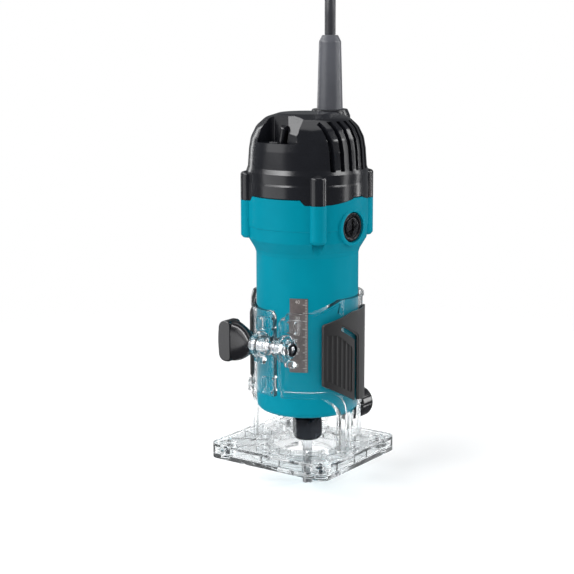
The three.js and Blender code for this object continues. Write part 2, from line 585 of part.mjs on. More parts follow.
function addCord() {
  const lead = new THREE.Group();
  lead.rotation.z = THREE.MathUtils.degToRad(CORD.heading);
  router.add(lead);
  add('power_cord', cordTube(cordRoute(), 30), RUBBER, lead);

  const height = HANK.top - HANK.bottom;
  const section = roundedRectangle(2 * HANK.halfWidth, height, HANK.halfWidth - 0.01);
  const loop = slab(section, -HANK.halfDepth, HANK.halfDepth, 5);
  const hank = add('cord_hank', loop.rotateX(Math.PI / 2), RUBBER, lead);
  hank.position.set(0, HANK.behind, (HANK.top + HANK.bottom) / 2);

  const back = HANK.behind + HANK.halfDepth;
  const front = HANK.behind - HANK.halfDepth;
  const middle = back + 0.4 + PLUG.depth / 2;
  const body = slab(roundedRectangle(2 * PLUG.halfWidth, PLUG.depth, 5), PLUG.from, PLUG.to, 2);
  const top = PLUG.to + PLUG.relief;
  const relief = turned([[0, PLUG.to - 1], [5.5, PLUG.to - 1], [4.2, top], [0, top]], 12);
  add('plug_body', join(body, relief), RUBBER, lead).position.set(PLUG.x, middle, 0);
  [-1, 1].forEach((side, i) => {
    const pin = rod(PIN.radius, PLUG.from - PIN.length, PLUG.from - GAP, 8);
    add(`plug_pin_${i + 1}`, pin, STEEL, lead).position.set(PLUG.x + (side * PIN.pitch) / 2, middle, 0);
  });
  const tail = new THREE.CatmullRomCurve3([
    new THREE.Vector3(PLUG.x, middle, top + GAP),
    new THREE.Vector3(PLUG.x, middle - 0.4, 128),
    new THREE.Vector3(PLUG.x, middle - 1.4, 137),
    new THREE.Vector3(PLUG.x - 0.4, back + 4.4, 146),
  ]);
  add('plug_lead', cordTube(tail, 8), RUBBER, lead);

  // The strap runs round the hank and the plug that lies on its back.
  const strap = (out) => outline([
    [-HANK.halfWidth - out, front - out], [HANK.halfWidth + out, front - out],
    [HANK.halfWidth + out, back - 4],
    [PLUG.x + PLUG.halfWidth + out, back + 2], [PLUG.x + PLUG.halfWidth + out, middle + PLUG.depth / 2 + out],
    [PLUG.x - PLUG.halfWidth - out, middle + PLUG.depth / 2 + out], [-HANK.halfWidth - out, back + out / 2],
  ]);
  const inside = slab(strap(0.4), TIE.from - 1, TIE.to + 1);
  const band = cut(slab(strap(0.4 + TIE.thick), TIE.from, TIE.to), inside);
  add('cord_tie', band, KNOB, lead);
}

addBase();
addGrips();
addClamp();
addGuideKnob();
addMotorHousing();
addTopCover();
addCoverScrews();
addScaleLabel();
sides.forEach(([name, side]) => brushParts(name, side));
addStator();
addBearings();
addSpindle();
addCollet();
addSwitch();
addCordGuard();
addCord();

export default router;
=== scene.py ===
import json
import math

import bmesh
import bpy
from mathutils import Matrix, Vector


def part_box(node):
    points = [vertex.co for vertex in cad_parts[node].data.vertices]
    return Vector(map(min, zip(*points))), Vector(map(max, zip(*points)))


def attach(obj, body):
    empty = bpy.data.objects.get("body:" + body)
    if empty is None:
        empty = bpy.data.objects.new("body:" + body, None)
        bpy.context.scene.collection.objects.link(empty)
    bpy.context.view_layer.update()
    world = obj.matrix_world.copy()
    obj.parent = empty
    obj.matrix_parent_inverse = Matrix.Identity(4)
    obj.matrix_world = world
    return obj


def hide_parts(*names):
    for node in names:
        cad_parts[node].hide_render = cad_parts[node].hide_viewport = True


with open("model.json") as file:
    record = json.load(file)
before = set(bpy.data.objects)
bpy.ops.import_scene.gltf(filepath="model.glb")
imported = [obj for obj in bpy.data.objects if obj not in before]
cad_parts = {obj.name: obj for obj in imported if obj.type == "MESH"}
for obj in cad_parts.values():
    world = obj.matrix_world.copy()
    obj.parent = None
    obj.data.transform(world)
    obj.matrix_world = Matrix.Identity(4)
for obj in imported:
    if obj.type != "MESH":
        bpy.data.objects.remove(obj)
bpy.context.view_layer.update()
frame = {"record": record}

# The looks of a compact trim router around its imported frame. Lengths here are millimetres, and
# MM turns them into the frame's metres. +Z is up, -Y the front, +X the right side. An azimuth is
# in degrees from the front towards the right.
MM = 0.001


def reach(node):
    """The lowest and highest corner of a node of the frame, in millimetres."""
    low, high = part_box(node)
    return low / MM, high / MM


FLOOR = min(reach("cutter_bit")[0].z, reach("cord_hank")[0].z) - 0.1
ROUND = 144  # steps round a large turned piece
SMALL_ROUND = 48
LABEL = {"left": 15.5, "right": 35.5, "inner": 32.5, "outer": 32.8, "zero": 66.0}  # its sides are azimuths


# ---- camera, light and floor ----------------------------------------------------------------------

VIEW = {"azimuth": 34.94, "elevation": 11.05, "distance": 887.9, "height": 110.2, "sensor": 36.0, "lens": 87.37,
        "shift": -0.0355}
MIDDLE = (0, 0, 110)
LIGHTS = [  # name, place, what it faces, width, height and power
    ("key", (-640, -1020, 690), MIDDLE, 1000, 960, 6),
    ("strip", (-560, -960, 800), MIDDLE, 1400, 160, 10),
    ("low", (-660, -1060, -90), (0, 0, 60), 1200, 420, 3),
    ("fill", (900, -800, 500), MIDDLE, 900, 900, 5),
    ("side", (1080, 440, 330), MIDDLE, 200, 1100, 3),
    ("side_strip", (1100, 340, 800), MIDDLE, 700, 160, 5),
    ("back", (660, 940, 420), MIDDLE, 160, 1000, 4),
    ("rim", (-1000, 260, 420), MIDDLE, 160, 1000, 2),
    ("high", (-920, -240, 1190), MIDDLE, 520, 520, 5),
    ("top", (100, 0, 1300), MIDDLE, 900, 900, 4),
]
NOT_MIRRORED = "fill"  # the light that glossy pieces don't show
SURROUNDINGS = {"around": 0.17, "through_clear": 0.45}  # strengths, of a white that the camera sees at 1
FLOOR_SIZE = 6000
FLOOR_FADE = (0.18, 0.6)  # metres from the object's axis


def linked(name, data):
    """A new object with this data, in the scene."""
    thing = bpy.data.objects.new(name, data)
    bpy.context.scene.collection.objects.link(thing)
    return thing


def add_camera():
    turn, rise = math.radians(VIEW["azimuth"]), math.radians(VIEW["elevation"])
    back = Vector((math.sin(turn) * math.cos(rise), -math.cos(turn) * math.cos(rise), math.sin(rise)))
    camera = linked("camera", bpy.data.cameras.new("camera"))
    camera.location = (Vector((0, 0, VIEW["height"])) + back * VIEW["distance"]) * MM
    camera.rotation_euler = back.to_track_quat("Z", "Y").to_euler()
    camera.data.sensor_width = VIEW["sensor"]
    camera.data.lens = VIEW["lens"]
    camera.data.shift_x = VIEW["shift"]
    bpy.context.scene.camera = camera


def add_light(name, place, aim, width, height, power):
    """A soft rectangular light; place and aim are in millimetres, power is in watts."""
    data = bpy.data.lights.new(name, "AREA")
    data.shape, data.size, data.size_y, data.energy = "RECTANGLE", width * MM, height * MM, power
    light = linked(name, data)
    light.visible_glossy = name != NOT_MIRRORED
    light.location = Vector(place) * MM
    light.rotation_euler = (Vector(place) - Vector(aim)).to_track_quat("Z", "Y").to_euler()


def maths(tree, operation, *values):
    """A maths node on numbers or other nodes' outputs."""
    node = tree.nodes.new("ShaderNodeMath")
    node.operation = operation
    for socket, value in zip(node.inputs, values):
        if isinstance(value, (int, float)):
            socket.default_value = value
        else:
            tree.links.new(value, socket)
    return node.outputs["Value"]


def mixed(tree, share, first, second, out):
    """Sends two shaders to an output node; share is how much there is of the second."""
    mix = tree.nodes.new("ShaderNodeMixShader")
    for socket, value in zip(mix.inputs, (share, first, second)):
        tree.links.new(value, socket)
    tree.links.new(mix.outputs["Shader"], out.inputs["Surface"])


def add_surroundings():
    """White to the camera, dimmer through clear plastic, and dim to everything else."""
    world = bpy.data.worlds.new("studio")
    bpy.context.scene.world = world
    world.use_nodes = True
    tree = world.node_tree
    tree.nodes.clear()
    lit = []
    for colour, strength in (((0.93, 0.96, 1, 1), SURROUNDINGS["around"]), ((1, 1, 1, 1), 1)):
        node = tree.nodes.new("ShaderNodeBackground")
        node.inputs["Color"].default_value, node.inputs["Strength"].default_value = colour, strength
        lit.append(node.outputs["Background"])
    rays = tree.nodes.new("ShaderNodeLightPath").outputs
    dimmed = maths(tree, "MULTIPLY", rays["Is Transmission Ray"], SURROUNDINGS["through_clear"])
    looked_at = maths(tree, "MAXIMUM", rays["Is Camera Ray"], dimmed)
    mixed(tree, looked_at, *lit, tree.nodes.new("ShaderNodeOutputWorld"))


def add_studio():
    for light in LIGHTS:
        add_light(*light)
    add_surroundings()
    corners = [(x, y, FLOOR) for x, y in rectangle(FLOOR_SIZE, FLOOR_SIZE)]
    floor = mesh_piece("floor", corners, [(0, 1, 2, 3)])
    floor.data.materials.append(floor_paint())
    floor.visible_glossy = False
    bpy.context.scene.view_settings.view_transform = "Standard"
    bpy.context.scene.cycles.use_denoising = True


# ---- materials ------------------------------------------------------------------------------------

def shader(name, **fixed):
    """A new material; fixed holds sockets set to one value, with _ for the blanks in their names."""
    material = bpy.data.materials.new(name)
    material.use_nodes = True
    bsdf = material.node_tree.nodes["Principled BSDF"]
    for socket, value in fixed.items():
        bsdf.inputs[socket.replace("_", " ")].default_value = value
    return material, material.node_tree, bsdf


def in_piece(tree, node):
    """Feeds a texture or maths node with the piece's own coordinates."""
    place = tree.nodes.new("ShaderNodeTexCoord")
    tree.links.new(place.outputs["Object"], node.inputs[0])
    return node


def noise(tree, scale, detail=2.0, stretch=(1, 1, 1)):
    """Noise in the piece's own coordinates; scale is in cells per metre."""
    turn = in_piece(tree, tree.nodes.new("ShaderNodeMapping"))
    turn.inputs["Scale"].default_value = stretch
    field = tree.nodes.new("ShaderNodeTexNoise")
    field.inputs["Scale"].default_value = scale
    field.inputs["Detail"].default_value = detail
    tree.links.new(turn.outputs["Vector"], field.inputs["Vector"])
    return field.outputs["Fac"]


def ramp(tree, value, stops):
    """A colour ramp from (place, colour) stops."""
    node = tree.nodes.new("ShaderNodeValToRGB")
    for k, (place, colour) in enumerate(stops):
        stop = node.color_ramp.elements[k] if k < 2 else node.color_ramp.elements.new(place)
        stop.position, stop.color = place, (*colour, 1)
    tree.links.new(value, node.inputs["Fac"])
    return node.outputs["Color"]


def between(tree, value, low, high):
    """The value, moved from 0..1 to low..high."""
    node = tree.nodes.new("ShaderNodeMapRange")
    node.inputs["To Min"].default_value, node.inputs["To Max"].default_value = low, high
    tree.links.new(value, node.inputs["Value"])
    return node.outputs["Result"]


def bumped(tree, bsdf, height, depth, strength=1.0):
    """Raises the surface by a height field; depth is in millimetres."""
    node = tree.nodes.new("ShaderNodeBump")
    node.inputs["Strength"].default_value = strength
    node.inputs["Distance"].default_value = depth * MM
    tree.links.new(height, node.inputs["Height"])
    tree.links.new(node.outputs["Normal"], bsdf.inputs["Normal"])


def scaled(colour, factor):
    return tuple(min(1.0, c * factor) for c in colour)


def coloured(tree, bsdf, value, stops):
    """Colours the surface by a value, with a ramp from (place, colour) stops."""
    tree.links.new(ramp(tree, value, stops), bsdf.inputs["Base Color"])


def see_through(tree, bsdf, share, colour):
    """Mixes the surface with clear air; share is how much of the air there is."""
    air = tree.nodes.new("ShaderNodeBsdfTransparent")
    air.inputs["Color"].default_value = (*colour, 1)
    mixed(tree, share, bsdf.outputs["BSDF"], air.outputs["BSDF"], tree.nodes["Material Output"])


def plastic(name, colour, roughness, grain=0.02, spread=0.08, shine=0.5):
    """Moulded plastic: a fine spark-eroded grain, slight mottling and uneven gloss."""
    material, tree, bsdf = shader(name, Specular_IOR_Level=shine)
    shades = [(0.3, scaled(colour, 1 - spread)), (0.7, scaled(colour, 1 + spread))]
    coloured(tree, bsdf, noise(tree, 45, 3), shades)
    gloss = between(tree, noise(tree, 160, 4), roughness * 0.86, roughness * 1.14)
    tree.links.new(gloss, bsdf.inputs["Roughness"])
    if grain:
        bumped(tree, bsdf, noise(tree, 2600, 2), grain)
    return material


def rubber(name, colour, roughness):
    """Soft rubber: matt, with a fine grain and a dusty sheen."""
    material = plastic(name, colour, roughness, grain=0.035, spread=0.14)
    bsdf = material.node_tree.nodes["Principled BSDF"]
    bsdf.inputs["Sheen Weight"].default_value = 0.12
    bsdf.inputs["Sheen Roughness"].default_value = 0.5
    return material


def metal(name, colour, roughness, stretch=(1, 1, 30), lines=0.004):
    """Turned or drawn metal: fine lines across the stretch, and uneven gloss."""
    material, tree, bsdf = shader(name, Metallic=1.0)
    streaks = noise(tree, 400, 4, stretch)
    coloured(tree, bsdf, streaks, [(0.25, scaled(colour, 0.82)), (0.75, scaled(colour, 1.1))])
    gloss = between(tree, noise(tree, 90, 3), roughness * 0.75, roughness * 1.3)
    tree.links.new(gloss, bsdf.inputs["Roughness"])
    bumped(tree, bsdf, streaks, lines)
    return material


def clear(name):
    """Clear polycarbonate: a faint flow ripple left by the mould, and a few soft scuffs."""
    material, tree, bsdf = shader(name, Transmission_Weight=1.0, IOR=1.45, Specular_Tint=(0.2, 0.2, 0.2, 1))
    coloured(tree, bsdf, noise(tree, 30, 2), [(0.3, (0.965, 0.98, 0.985)), (0.7, (0.985, 0.992, 0.995))])
    tree.links.new(between(tree, noise(tree, 120, 4), 0.01, 0.06), bsdf.inputs["Roughness"])
    bumped(tree, bsdf, noise(tree, 70, 1), 0.12, 0.5)

    # light passes straight through it to what is behind, and a small share of every look does too
    rays = tree.nodes.new("ShaderNodeLightPath").outputs
    either = maths(tree, "MAXIMUM", rays["Is Shadow Ray"], rays["Is Diffuse Ray"])
    see_through(tree, bsdf, between(tree, either, 0.06, 1.0), (0.93, 0.95, 0.955))
    return material


def floor_paint():
    """Pale matt paint under the object, which gives way to the white surroundings further out."""
    material, tree, bsdf = shader("floor_paint", Base_Color=(0.93, 0.93, 0.93, 1), Roughness=0.9,
                                  Emission_Color=(1, 1, 1, 1), Emission_Strength=0.12)
    far = in_piece(tree, tree.nodes.new("ShaderNodeVectorMath"))
    far.operation = "LENGTH"
    fade = tree.nodes.new("ShaderNodeMapRange")
    fade.interpolation_type = "SMOOTHSTEP"
    fade.inputs["From Min"].default_value, fade.inputs["From Max"].default_value = FLOOR_FADE
    tree.links.new(far.outputs["Value"], fade.inputs["Value"])
    see_through(tree, bsdf, fade.outputs["Result"], (1, 1, 1))
    return material


def label_film():
    """Grey-brown film printed with a rule up its right edge: a line each millimetre, longer each five."""
    material, tree, bsdf = shader("label_print", Roughness=0.42)
    parts = in_piece(tree, tree.nodes.new("ShaderNodeSeparateXYZ"))

    def lines(pitch, width, length):
        """Lines up the film at a pitch, from the right edge in; length is in degrees."""
        share = maths(tree, "FRACT", maths(tree, "DIVIDE", parts.outputs["Z"], pitch * MM))
        start = maths(tree, "GREATER_THAN", azimuth, math.radians(LABEL["right"] - length))
        return maths(tree, "MULTIPLY", maths(tree, "LESS_THAN", share, width), start)

    azimuth = maths(tree, "ARCTAN2", parts.outputs["X"], maths(tree, "MULTIPLY", parts.outputs["Y"], -1))
    ticks = maths(tree, "MAXIMUM", lines(1, 0.3, 3.0), lines(5, 0.08, 5.5))
    printed = maths(tree, "LESS_THAN", azimuth, math.radians(LABEL["right"] - 0.8))
    film = ramp(tree, noise(tree, 260, 4), [(0.3, (0.07, 0.056, 0.055)), (0.7, (0.125, 0.104, 0.1))])
    mix = tree.nodes.new("ShaderNodeMix")
    mix.data_type = "RGBA"
    tree.links.new(maths(tree, "MULTIPLY", ticks, printed), mix.inputs["Factor"])
    tree.links.new(film, mix.inputs["A"])
    mix.inputs["B"].default_value = (0.4, 0.38, 0.36, 1)
    tree.links.new(mix.outputs["Result"], bsdf.inputs["Base Color"])
    bumped(tree, bsdf, noise(tree, 1800, 2), 0.01)
    return material


def woven(name, colour):
    """Hook-and-loop strap: crossed threads with a soft pile."""
    material, tree, bsdf = shader(name, Roughness=0.9, Sheen_Weight=0.4)
    threads = noise(tree, 900, 2, (1, 1, 4))
    coloured(tree, bsdf, threads, [(0.35, scaled(colour, 0.6)), (0.65, scaled(colour, 1.5))])
    bumped(tree, bsdf, threads, 0.15)
    return material


def banded(material, tree, bsdf, colour, scale, distortion, direction, stops, depth):
    """Gives a material raised bands; stops are (place, factor on the colour)."""
    bands = in_piece(tree, tree.nodes.new("ShaderNodeTexWave"))
    bands.bands_direction = direction
    bands.inputs["Scale"].default_value = scale
    bands.inputs["Distortion"].default_value = distortion
    coloured(tree, bsdf, bands.outputs["Fac"], [(place, scaled(colour, factor)) for place, factor in stops])
    bumped(tree, bsdf, bands.outputs["Fac"], depth)
    return material


def laminated(name, colour):
    """Stacked steel sheets, half a millimetre each, on edge."""
    material, tree, bsdf = shader(name, Metallic=0.9)
    tree.links.new(between(tree, noise(tree, 200, 3), 0.35, 0.6), bsdf.inputs["Roughness"])
    return banded(material, tree, bsdf, colour, 600, 0.3, "Z", [(0.2, 0.5), (0.8, 1.2)], 0.05)


def wound(name, colour):
    """Enamelled copper wire laid side by side."""
    material = shader(name, Metallic=0.8, Roughness=0.35)
    return banded(*material, colour, 450, 1.5, "X", [(0.1, 0.45), (0.7, 1.15)], 0.1)


MATERIALS = {
    "clear_plastic": clear("clear_polycarbonate"),
    "teal_plastic": plastic("teal_nylon", (0.0, 0.205, 0.282), 0.42, grain=0.012, spread=0.04, shine=0.04),
    "black_plastic": plastic("black_nylon", (0.007, 0.0075, 0.01), 0.22, grain=0.006, spread=0.2, shine=0.45),
    "grip_rubber": rubber("grip", (0.014, 0.0135, 0.0145), 0.5),
    "cord_rubber": rubber("cord_sheath", (0.022, 0.023, 0.028), 0.4),
    "guard_rubber": rubber("guard", (0.075, 0.078, 0.09), 0.34),
    "knob_plastic": plastic("knob", (0.005, 0.005, 0.007), 0.2, grain=0.008, spread=0.2, shine=0.6),
    "steel": metal("bright_steel", (0.5, 0.51, 0.53), 0.22),
    # the cutter's steel is the bright steel's colour painted 1.6 times lighter, a painted highlight that makes
    # the bit look more brightly lit; its higher roughness is a ground finish
    "bit_steel": metal("ground_steel_painted_lighter", (0.8, 0.81, 0.83), 0.3),
    "dark_steel": metal("blackened_steel", (0.035, 0.038, 0.045), 0.26),
    "brass": metal("drawn_brass", (0.66, 0.47, 0.2), 0.28),
    "copper": wound("enamelled_wire", (0.55, 0.22, 0.09)),
    "lamination": laminated("core_sheets", (0.3, 0.3, 0.31)),
    "carbon": plastic("pressed_carbon", (0.014, 0.014, 0.015), 0.65, grain=0.05),
    "label_film": label_film(),
    "label_ink": plastic("label_ink", (0.42, 0.4, 0.38), 0.5, grain=0.0),
    "nylon": plastic("inner_nylon", (0.05, 0.054, 0.06), 0.5),
    "strap_fabric": woven("strap_weave", (0.02, 0.02, 0.022)),
}


# ---- mesh building --------------------------------------------------------------------------------

def facing_out(name, work, mesh):
    """An object from a bmesh, with its faces turned outwards; mesh takes up its shape."""
    bmesh.ops.recalc_face_normals(work, faces=work.faces)
    work.to_mesh(mesh)
    work.free()
    return linked(name, mesh)


def mesh_piece(name, points, faces):
    """An object from points in millimetres."""
    mesh = bpy.data.meshes.new(name)
    mesh.from_pydata([Vector(p) * MM for p in points], [], faces)
    work = bmesh.new()
    work.from_mesh(mesh)
    return facing_out(name, work, mesh)


def rounded(corners, steps=6, closed=True):
    """The points of an outline whose corners are given as (x, y) or (x, y, radius)."""
    points = []
    for k, corner in enumerate(corners):
        here = Vector(corner[:2])
        ends = not closed and k in (0, len(corners) - 1)
        if len(corner) == 2 or ends:
            points.append(tuple(here))
            continue
        a = Vector(corners[k - 1][:2]) - here
        b = Vector(corners[(k + 1) % len(corners)][:2]) - here
        half = a.angle(b) / 2
        cut = min(corner[2] / math.tan(half), a.length * 0.499, b.length * 0.499)
        start, end = here + a.normalized() * cut, here + b.normalized() * cut
        centre = here + (a.normalized() + b.normalized()).normalized() * (cut / math.cos(half))
        first = math.atan2(start.y - centre.y, start.x - centre.x)
        turn = math.atan2(end.y - centre.y, end.x - centre.x) - first
        turn = (turn + math.pi) % (2 * math.pi) - math.pi
        radius = (start - centre).length
        for step in range(steps + 1):
            angle = first + turn * step / steps
            points.append((centre.x + radius * math.cos(angle), centre.y + radius * math.sin(angle)))
    return points


def turned(name, profile, steps=ROUND):
    """A solid turned about Z from (radius, z) points; a profile that starts off the axis closes on itself."""
    points, rings = [], []
    for r, z in profile:
        if r < 1e-6:
            rings.append([len(points)] * steps)
            points.append((0, 0, z))
        else:
            rings.append(list(range(len(points), len(points) + steps)))
            angles = (2 * math.pi * k / steps for k in range(steps))
            points += [(r * math.cos(a), r * math.sin(a), z) for a in angles]
    pairs = list(zip(rings, rings[1:]))
    if profile[0][0] > 1e-6:
        pairs.append((rings[-1], rings[0]))
    faces = []
    for low, high in pairs:
        for k in range(steps):
            face = [low[k], low[(k + 1) % steps], high[(k + 1) % steps], high[k]]
            face = list(dict.fromkeys(face))
            if len(face) > 2:
                faces.append(face)
    return mesh_piece(name, points, faces)


def lathe(name, corners, arc=4, steps=SMALL_ROUND):
    """A solid turned about Z from an open run of (radius, z) or (radius, z, rounding) corners."""
    return turned(name, rounded(corners, arc, closed=False), steps)


def tube(name, inner, outer, low, high, steps=ROUND):
    return turned(name, [(inner, low), (outer, low), (outer, high), (inner, high)], steps)


def rod(name, radius, low, high, steps=SMALL_ROUND, rim=0.0):
    return lathe(name, [(0, low), (radius, low, rim), (radius, high, rim), (0, high)], 3, steps)


def thread(outer, root, low, high, pitch):
    """A threaded stretch of a turned profile, as rings at the pitch."""
    points, z = [], low
    while z + pitch <= high:
        points += [(root, z), (outer, z + pitch * 0.4), (outer, z + pitch * 0.6), (root, z + pitch)]
        z += pitch
    return points


AXES = {"X": lambda a, b, h: (h, a, b), "Y": lambda a, b, h: (a, h, b), "Z": lambda a, b, h: (a, b, h)}


def prism(name, outline, low, high, axis="Z"):
    """An outline carried from low to high: drawn in (y, z) for X, (x, z) for Y, and (x, y) for Z."""
    place = AXES[axis]
    count = len(outline)
    points = [place(a, b, low) for a, b in outline] + [place(a, b, high) for a, b in outline]
    faces = [list(range(count)), list(range(count, 2 * count))]
    faces += [[k, (k + 1) % count, (k + 1) % count + count, k + count] for k in range(count)]
    return mesh_piece(name, points, faces)


def block(name, x, y, z):
    return prism(name, [(x[0], y[0]), (x[1], y[0]), (x[1], y[1]), (x[0], y[1])], *z)


def rectangle(width, height, radius=0.0, steps=8, at=(0, 0)):
    (u, v), x, y = at, width / 2, height / 2
    corners = [(u - x, v - y), (u + x, v - y), (u + x, v + y), (u - x, v + y)]
    return rounded([(*c, radius) for c in corners], steps) if radius else corners


def lofted(name, sections, axis, steps=64):
    """A skin over superellipses across an axis, from (place, half width, half depth, squareness)."""
    points = []
    for station, wide, deep, square in sections:
        for k in range(steps):
            c, s = math.cos(2 * math.pi * k / steps), math.sin(2 * math.pi * k / steps)
            a = math.copysign(wide * abs(c) ** (2 / square), c)
            b = math.copysign(deep * abs(s) ** (2 / square), s)
            points.append(AXES[axis](a, b, station))
    last = (len(sections) - 1) * steps
    faces = [list(range(steps)), list(range(last, last + steps))]
    for low in range(0, last, steps):
        for k in range(steps):
            side = (k + 1) % steps
            faces.append([low + k, low + side, low + side + steps, low + k + steps])
    return mesh_piece(name, points, faces)


def hull(name, points):
    work = bmesh.new()
    for p in points:
        work.verts.new(Vector(p) * MM)
    made = bmesh.ops.convex_hull(work, input=work.verts)
    inside = [v for v in made["geom_interior"] + made["geom_unused"] if isinstance(v, bmesh.types.BMVert)]
    bmesh.ops.delete(work, geom=inside, context="VERTS")
    return facing_out(name, work, bpy.data.meshes.new(name))


def moved(piece, shift=(0, 0, 0), turn=0.0, axis="Z"):
    """Turns a piece about an axis through the origin, in degrees, and then shifts it, in its mesh."""
    piece.data.transform(Matrix.Translation(Vector(shift) * MM) @ Matrix.Rotation(math.radians(turn), 4, axis))
    return piece


def lying(piece, axis, side=1):
    """Lays a piece made along Z along +X, -X, +Y or -Y."""
    return moved(piece, turn=90 * side, axis="Y") if axis == "X" else moved(piece, turn=-90 * side, axis="X")


def towards(side, near, far):
    """The stretch from near to far on the right, or its mirror image on the left."""
    return (near, far) if side > 0 else (-far, -near)


def settle(piece):
    """Applies the piece's modifiers to its mesh."""
    graph = bpy.context.evaluated_depsgraph_get()
    graph.update()
    mesh = bpy.data.meshes.new_from_object(piece.evaluated_get(graph))
    piece.modifiers.clear()
    piece.data = mesh
    return piece


def combine(piece, operation, tools):
    for tool in tools:
        step = piece.modifiers.new("combine", "BOOLEAN")
        step.operation, step.solver, step.object = operation, "MANIFOLD", tool
        settle(piece)
        bpy.data.objects.remove(tool)
    return piece


def join(piece, *tools):
    return combine(piece, "UNION", tools)


def cut(piece, *tools):
    return combine(piece, "DIFFERENCE", tools)


def meet(piece, *tools):
    return combine(piece, "INTERSECT", tools)


def soften(piece, width, segments=2, angle=35):
    """Rounds every edge sharper than the angle."""
    work = bmesh.new()
    work.from_mesh(piece.data)
    bmesh.ops.remove_doubles(work, verts=work.verts, dist=0.01 * MM)
    bmesh.ops.dissolve_limit(work, angle_limit=math.radians(1.0), verts=work.verts, edges=work.edges)
    work.to_mesh(piece.data)
    work.free()
    step = piece.modifiers.new("soften", "BEVEL")
    step.width, step.segments, step.limit_method = width * MM, segments, "ANGLE"
    step.angle_limit = math.radians(angle)
    step.use_clamp_overlap = True
    return settle(piece)


def smooth(piece, angle=38):
    piece.data.shade_smooth()
    piece.data.set_sharp_from_angle(angle=math.radians(angle))
    step = piece.modifiers.new("weighted", "WEIGHTED_NORMAL")
    step.keep_sharp = True
    return settle(piece)


def place(piece, body, slot, *nodes, angle=38, paint=None):
    """Finishes a piece: its shading, its material from the slot or the paint, its body, and the nodes that it
    stands for, which it hides.
    """
    if piece.type == "MESH":
        smooth(piece, angle)
    piece.data.materials.clear()
    piece.data.materials.append(MATERIALS[paint or slot])
    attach(piece, body)
    if nodes:
        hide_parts(*nodes)
    return piece


# ---- cord -----------------------------------------------------------------------------------------

CORD = {"diameter": 7.0, "heading": 34.0, "bend": 28.0, "length": 2000.0}
HANK = {"behind": 85.4, "half_width": 28.5, "half_depth": 19.3, "turns": 6}
PLUG = {"x": 20.0, "low": 66.0, "top": 118.0, "layer": 112.1}
LAYER = 6.1  # from one turn of the hank to the next


def spline(points, per_span=12):
    """A smooth curve through points, by centripetal Catmull-Rom."""
    points = [Vector(p) for p in points]
    points = [2 * points[0] - points[1], *points, 2 * points[-1] - points[-2]]
    out = []
    for p0, p1, p2, p3 in zip(points, points[1:], points[2:], points[3:]):
        t = [0.0]
        for a, b in ((p0, p1), (p1, p2), (p2, p3)):
            t.append(t[-1] + max((b - a).length, 1e-6) ** 0.5)
        for step in range(per_span):
            u = t[1] + (t[2] - t[1]) * step / per_span
            a1 = (t[1] - u) / (t[1] - t[0]) * p0 + (u - t[0]) / (t[1] - t[0]) * p1
            a2 = (t[2] - u) / (t[2] - t[1]) * p1 + (u - t[1]) / (t[2] - t[1]) * p2
            a3 = (t[3] - u) / (t[3] - t[2]) * p2 + (u - t[2]) / (t[3] - t[2]) * p3
            b1 = (t[2] - u) / (t[2] - t[0]) * a1 + (u - t[0]) / (t[2] - t[0]) * a2
            b2 = (t[3] - u) / (t[3] - t[1]) * a2 + (u - t[1]) / (t[3] - t[1]) * a3
            out.append((t[2] - u) / (t[2] - t[1]) * b1 + (u - t[1]) / (t[2] - t[1]) * b2)
    return [*out, points[-2]]


def run_length(points):
    return sum((b - a).length for a, b in zip(points, points[1:]))


def lead_in(near, fold, top):
    """The stretch from the guard up, over and down to the hank, in the cord's own frame."""
    guard_low, guard_high = reach("cord_guard")
    y = (guard_low.y + guard_high.y) / 2
    turn = math.radians(CORD["heading"])
    x, out, start = y * math.sin(turn), y * math.cos(turn), guard_high.z + 0.3
    far = out + 2 * CORD["bend"]
    points = [(x, out, start), (x, out, 276)]
    for k in range(7):
        angle = k / 6 * math.pi
        points.append((x, out + CORD["bend"] * (1 - math.cos(angle)), 284 + CORD["bend"] * math.sin(angle)))
    points += [
        (x, far, 262),
        (x, far, 240),
        (x + 0.8, far - 0.4, 220),
        ((x + fold) / 2, (far + near) / 2, 198),
        (fold - 0.8, near + 0.4, 176),
        (fold, near, 160),
        (fold, near, top),
    ]
    return spline(points)


def hank_turns(near, middle, straight):
    """The folded turns: down the right run, round the bottom, up the left run and over the top."""
    tight, wide = 21.0, 24.5
    points = []
    per_turn = 64
    for k in range(HANK["turns"] * per_turn + 1):
        turn = k / per_turn
        share, layer = turn % 1.0, near + LAYER * turn
        radius = (tight + wide) / 2 + (wide - tight) / 2 * math.cos(math.pi * turn)
        length = 2 * straight + 2 * math.pi * radius
        along = share * length
        half = straight / 2
        if along < half:
            points.append((radius, layer, middle - along))
        elif along < half + math.pi * radius:
            angle = (along - half) / radius
            points.append((radius * math.cos(angle), layer, middle - half - radius * math.sin(angle)))
        elif along < half + math.pi * radius + straight:
            points.append((-radius, layer, middle - half + along - half - math.pi * radius))
        elif along < half + 2 * math.pi * radius + straight:
            angle = (along - half - math.pi * radius - straight) / radius
            points.append((-radius * math.cos(angle), layer, middle + half + radius * math.sin(angle)))
        else:
            points.append((radius, layer, middle + length - along))
    return [Vector(p) for p in points]


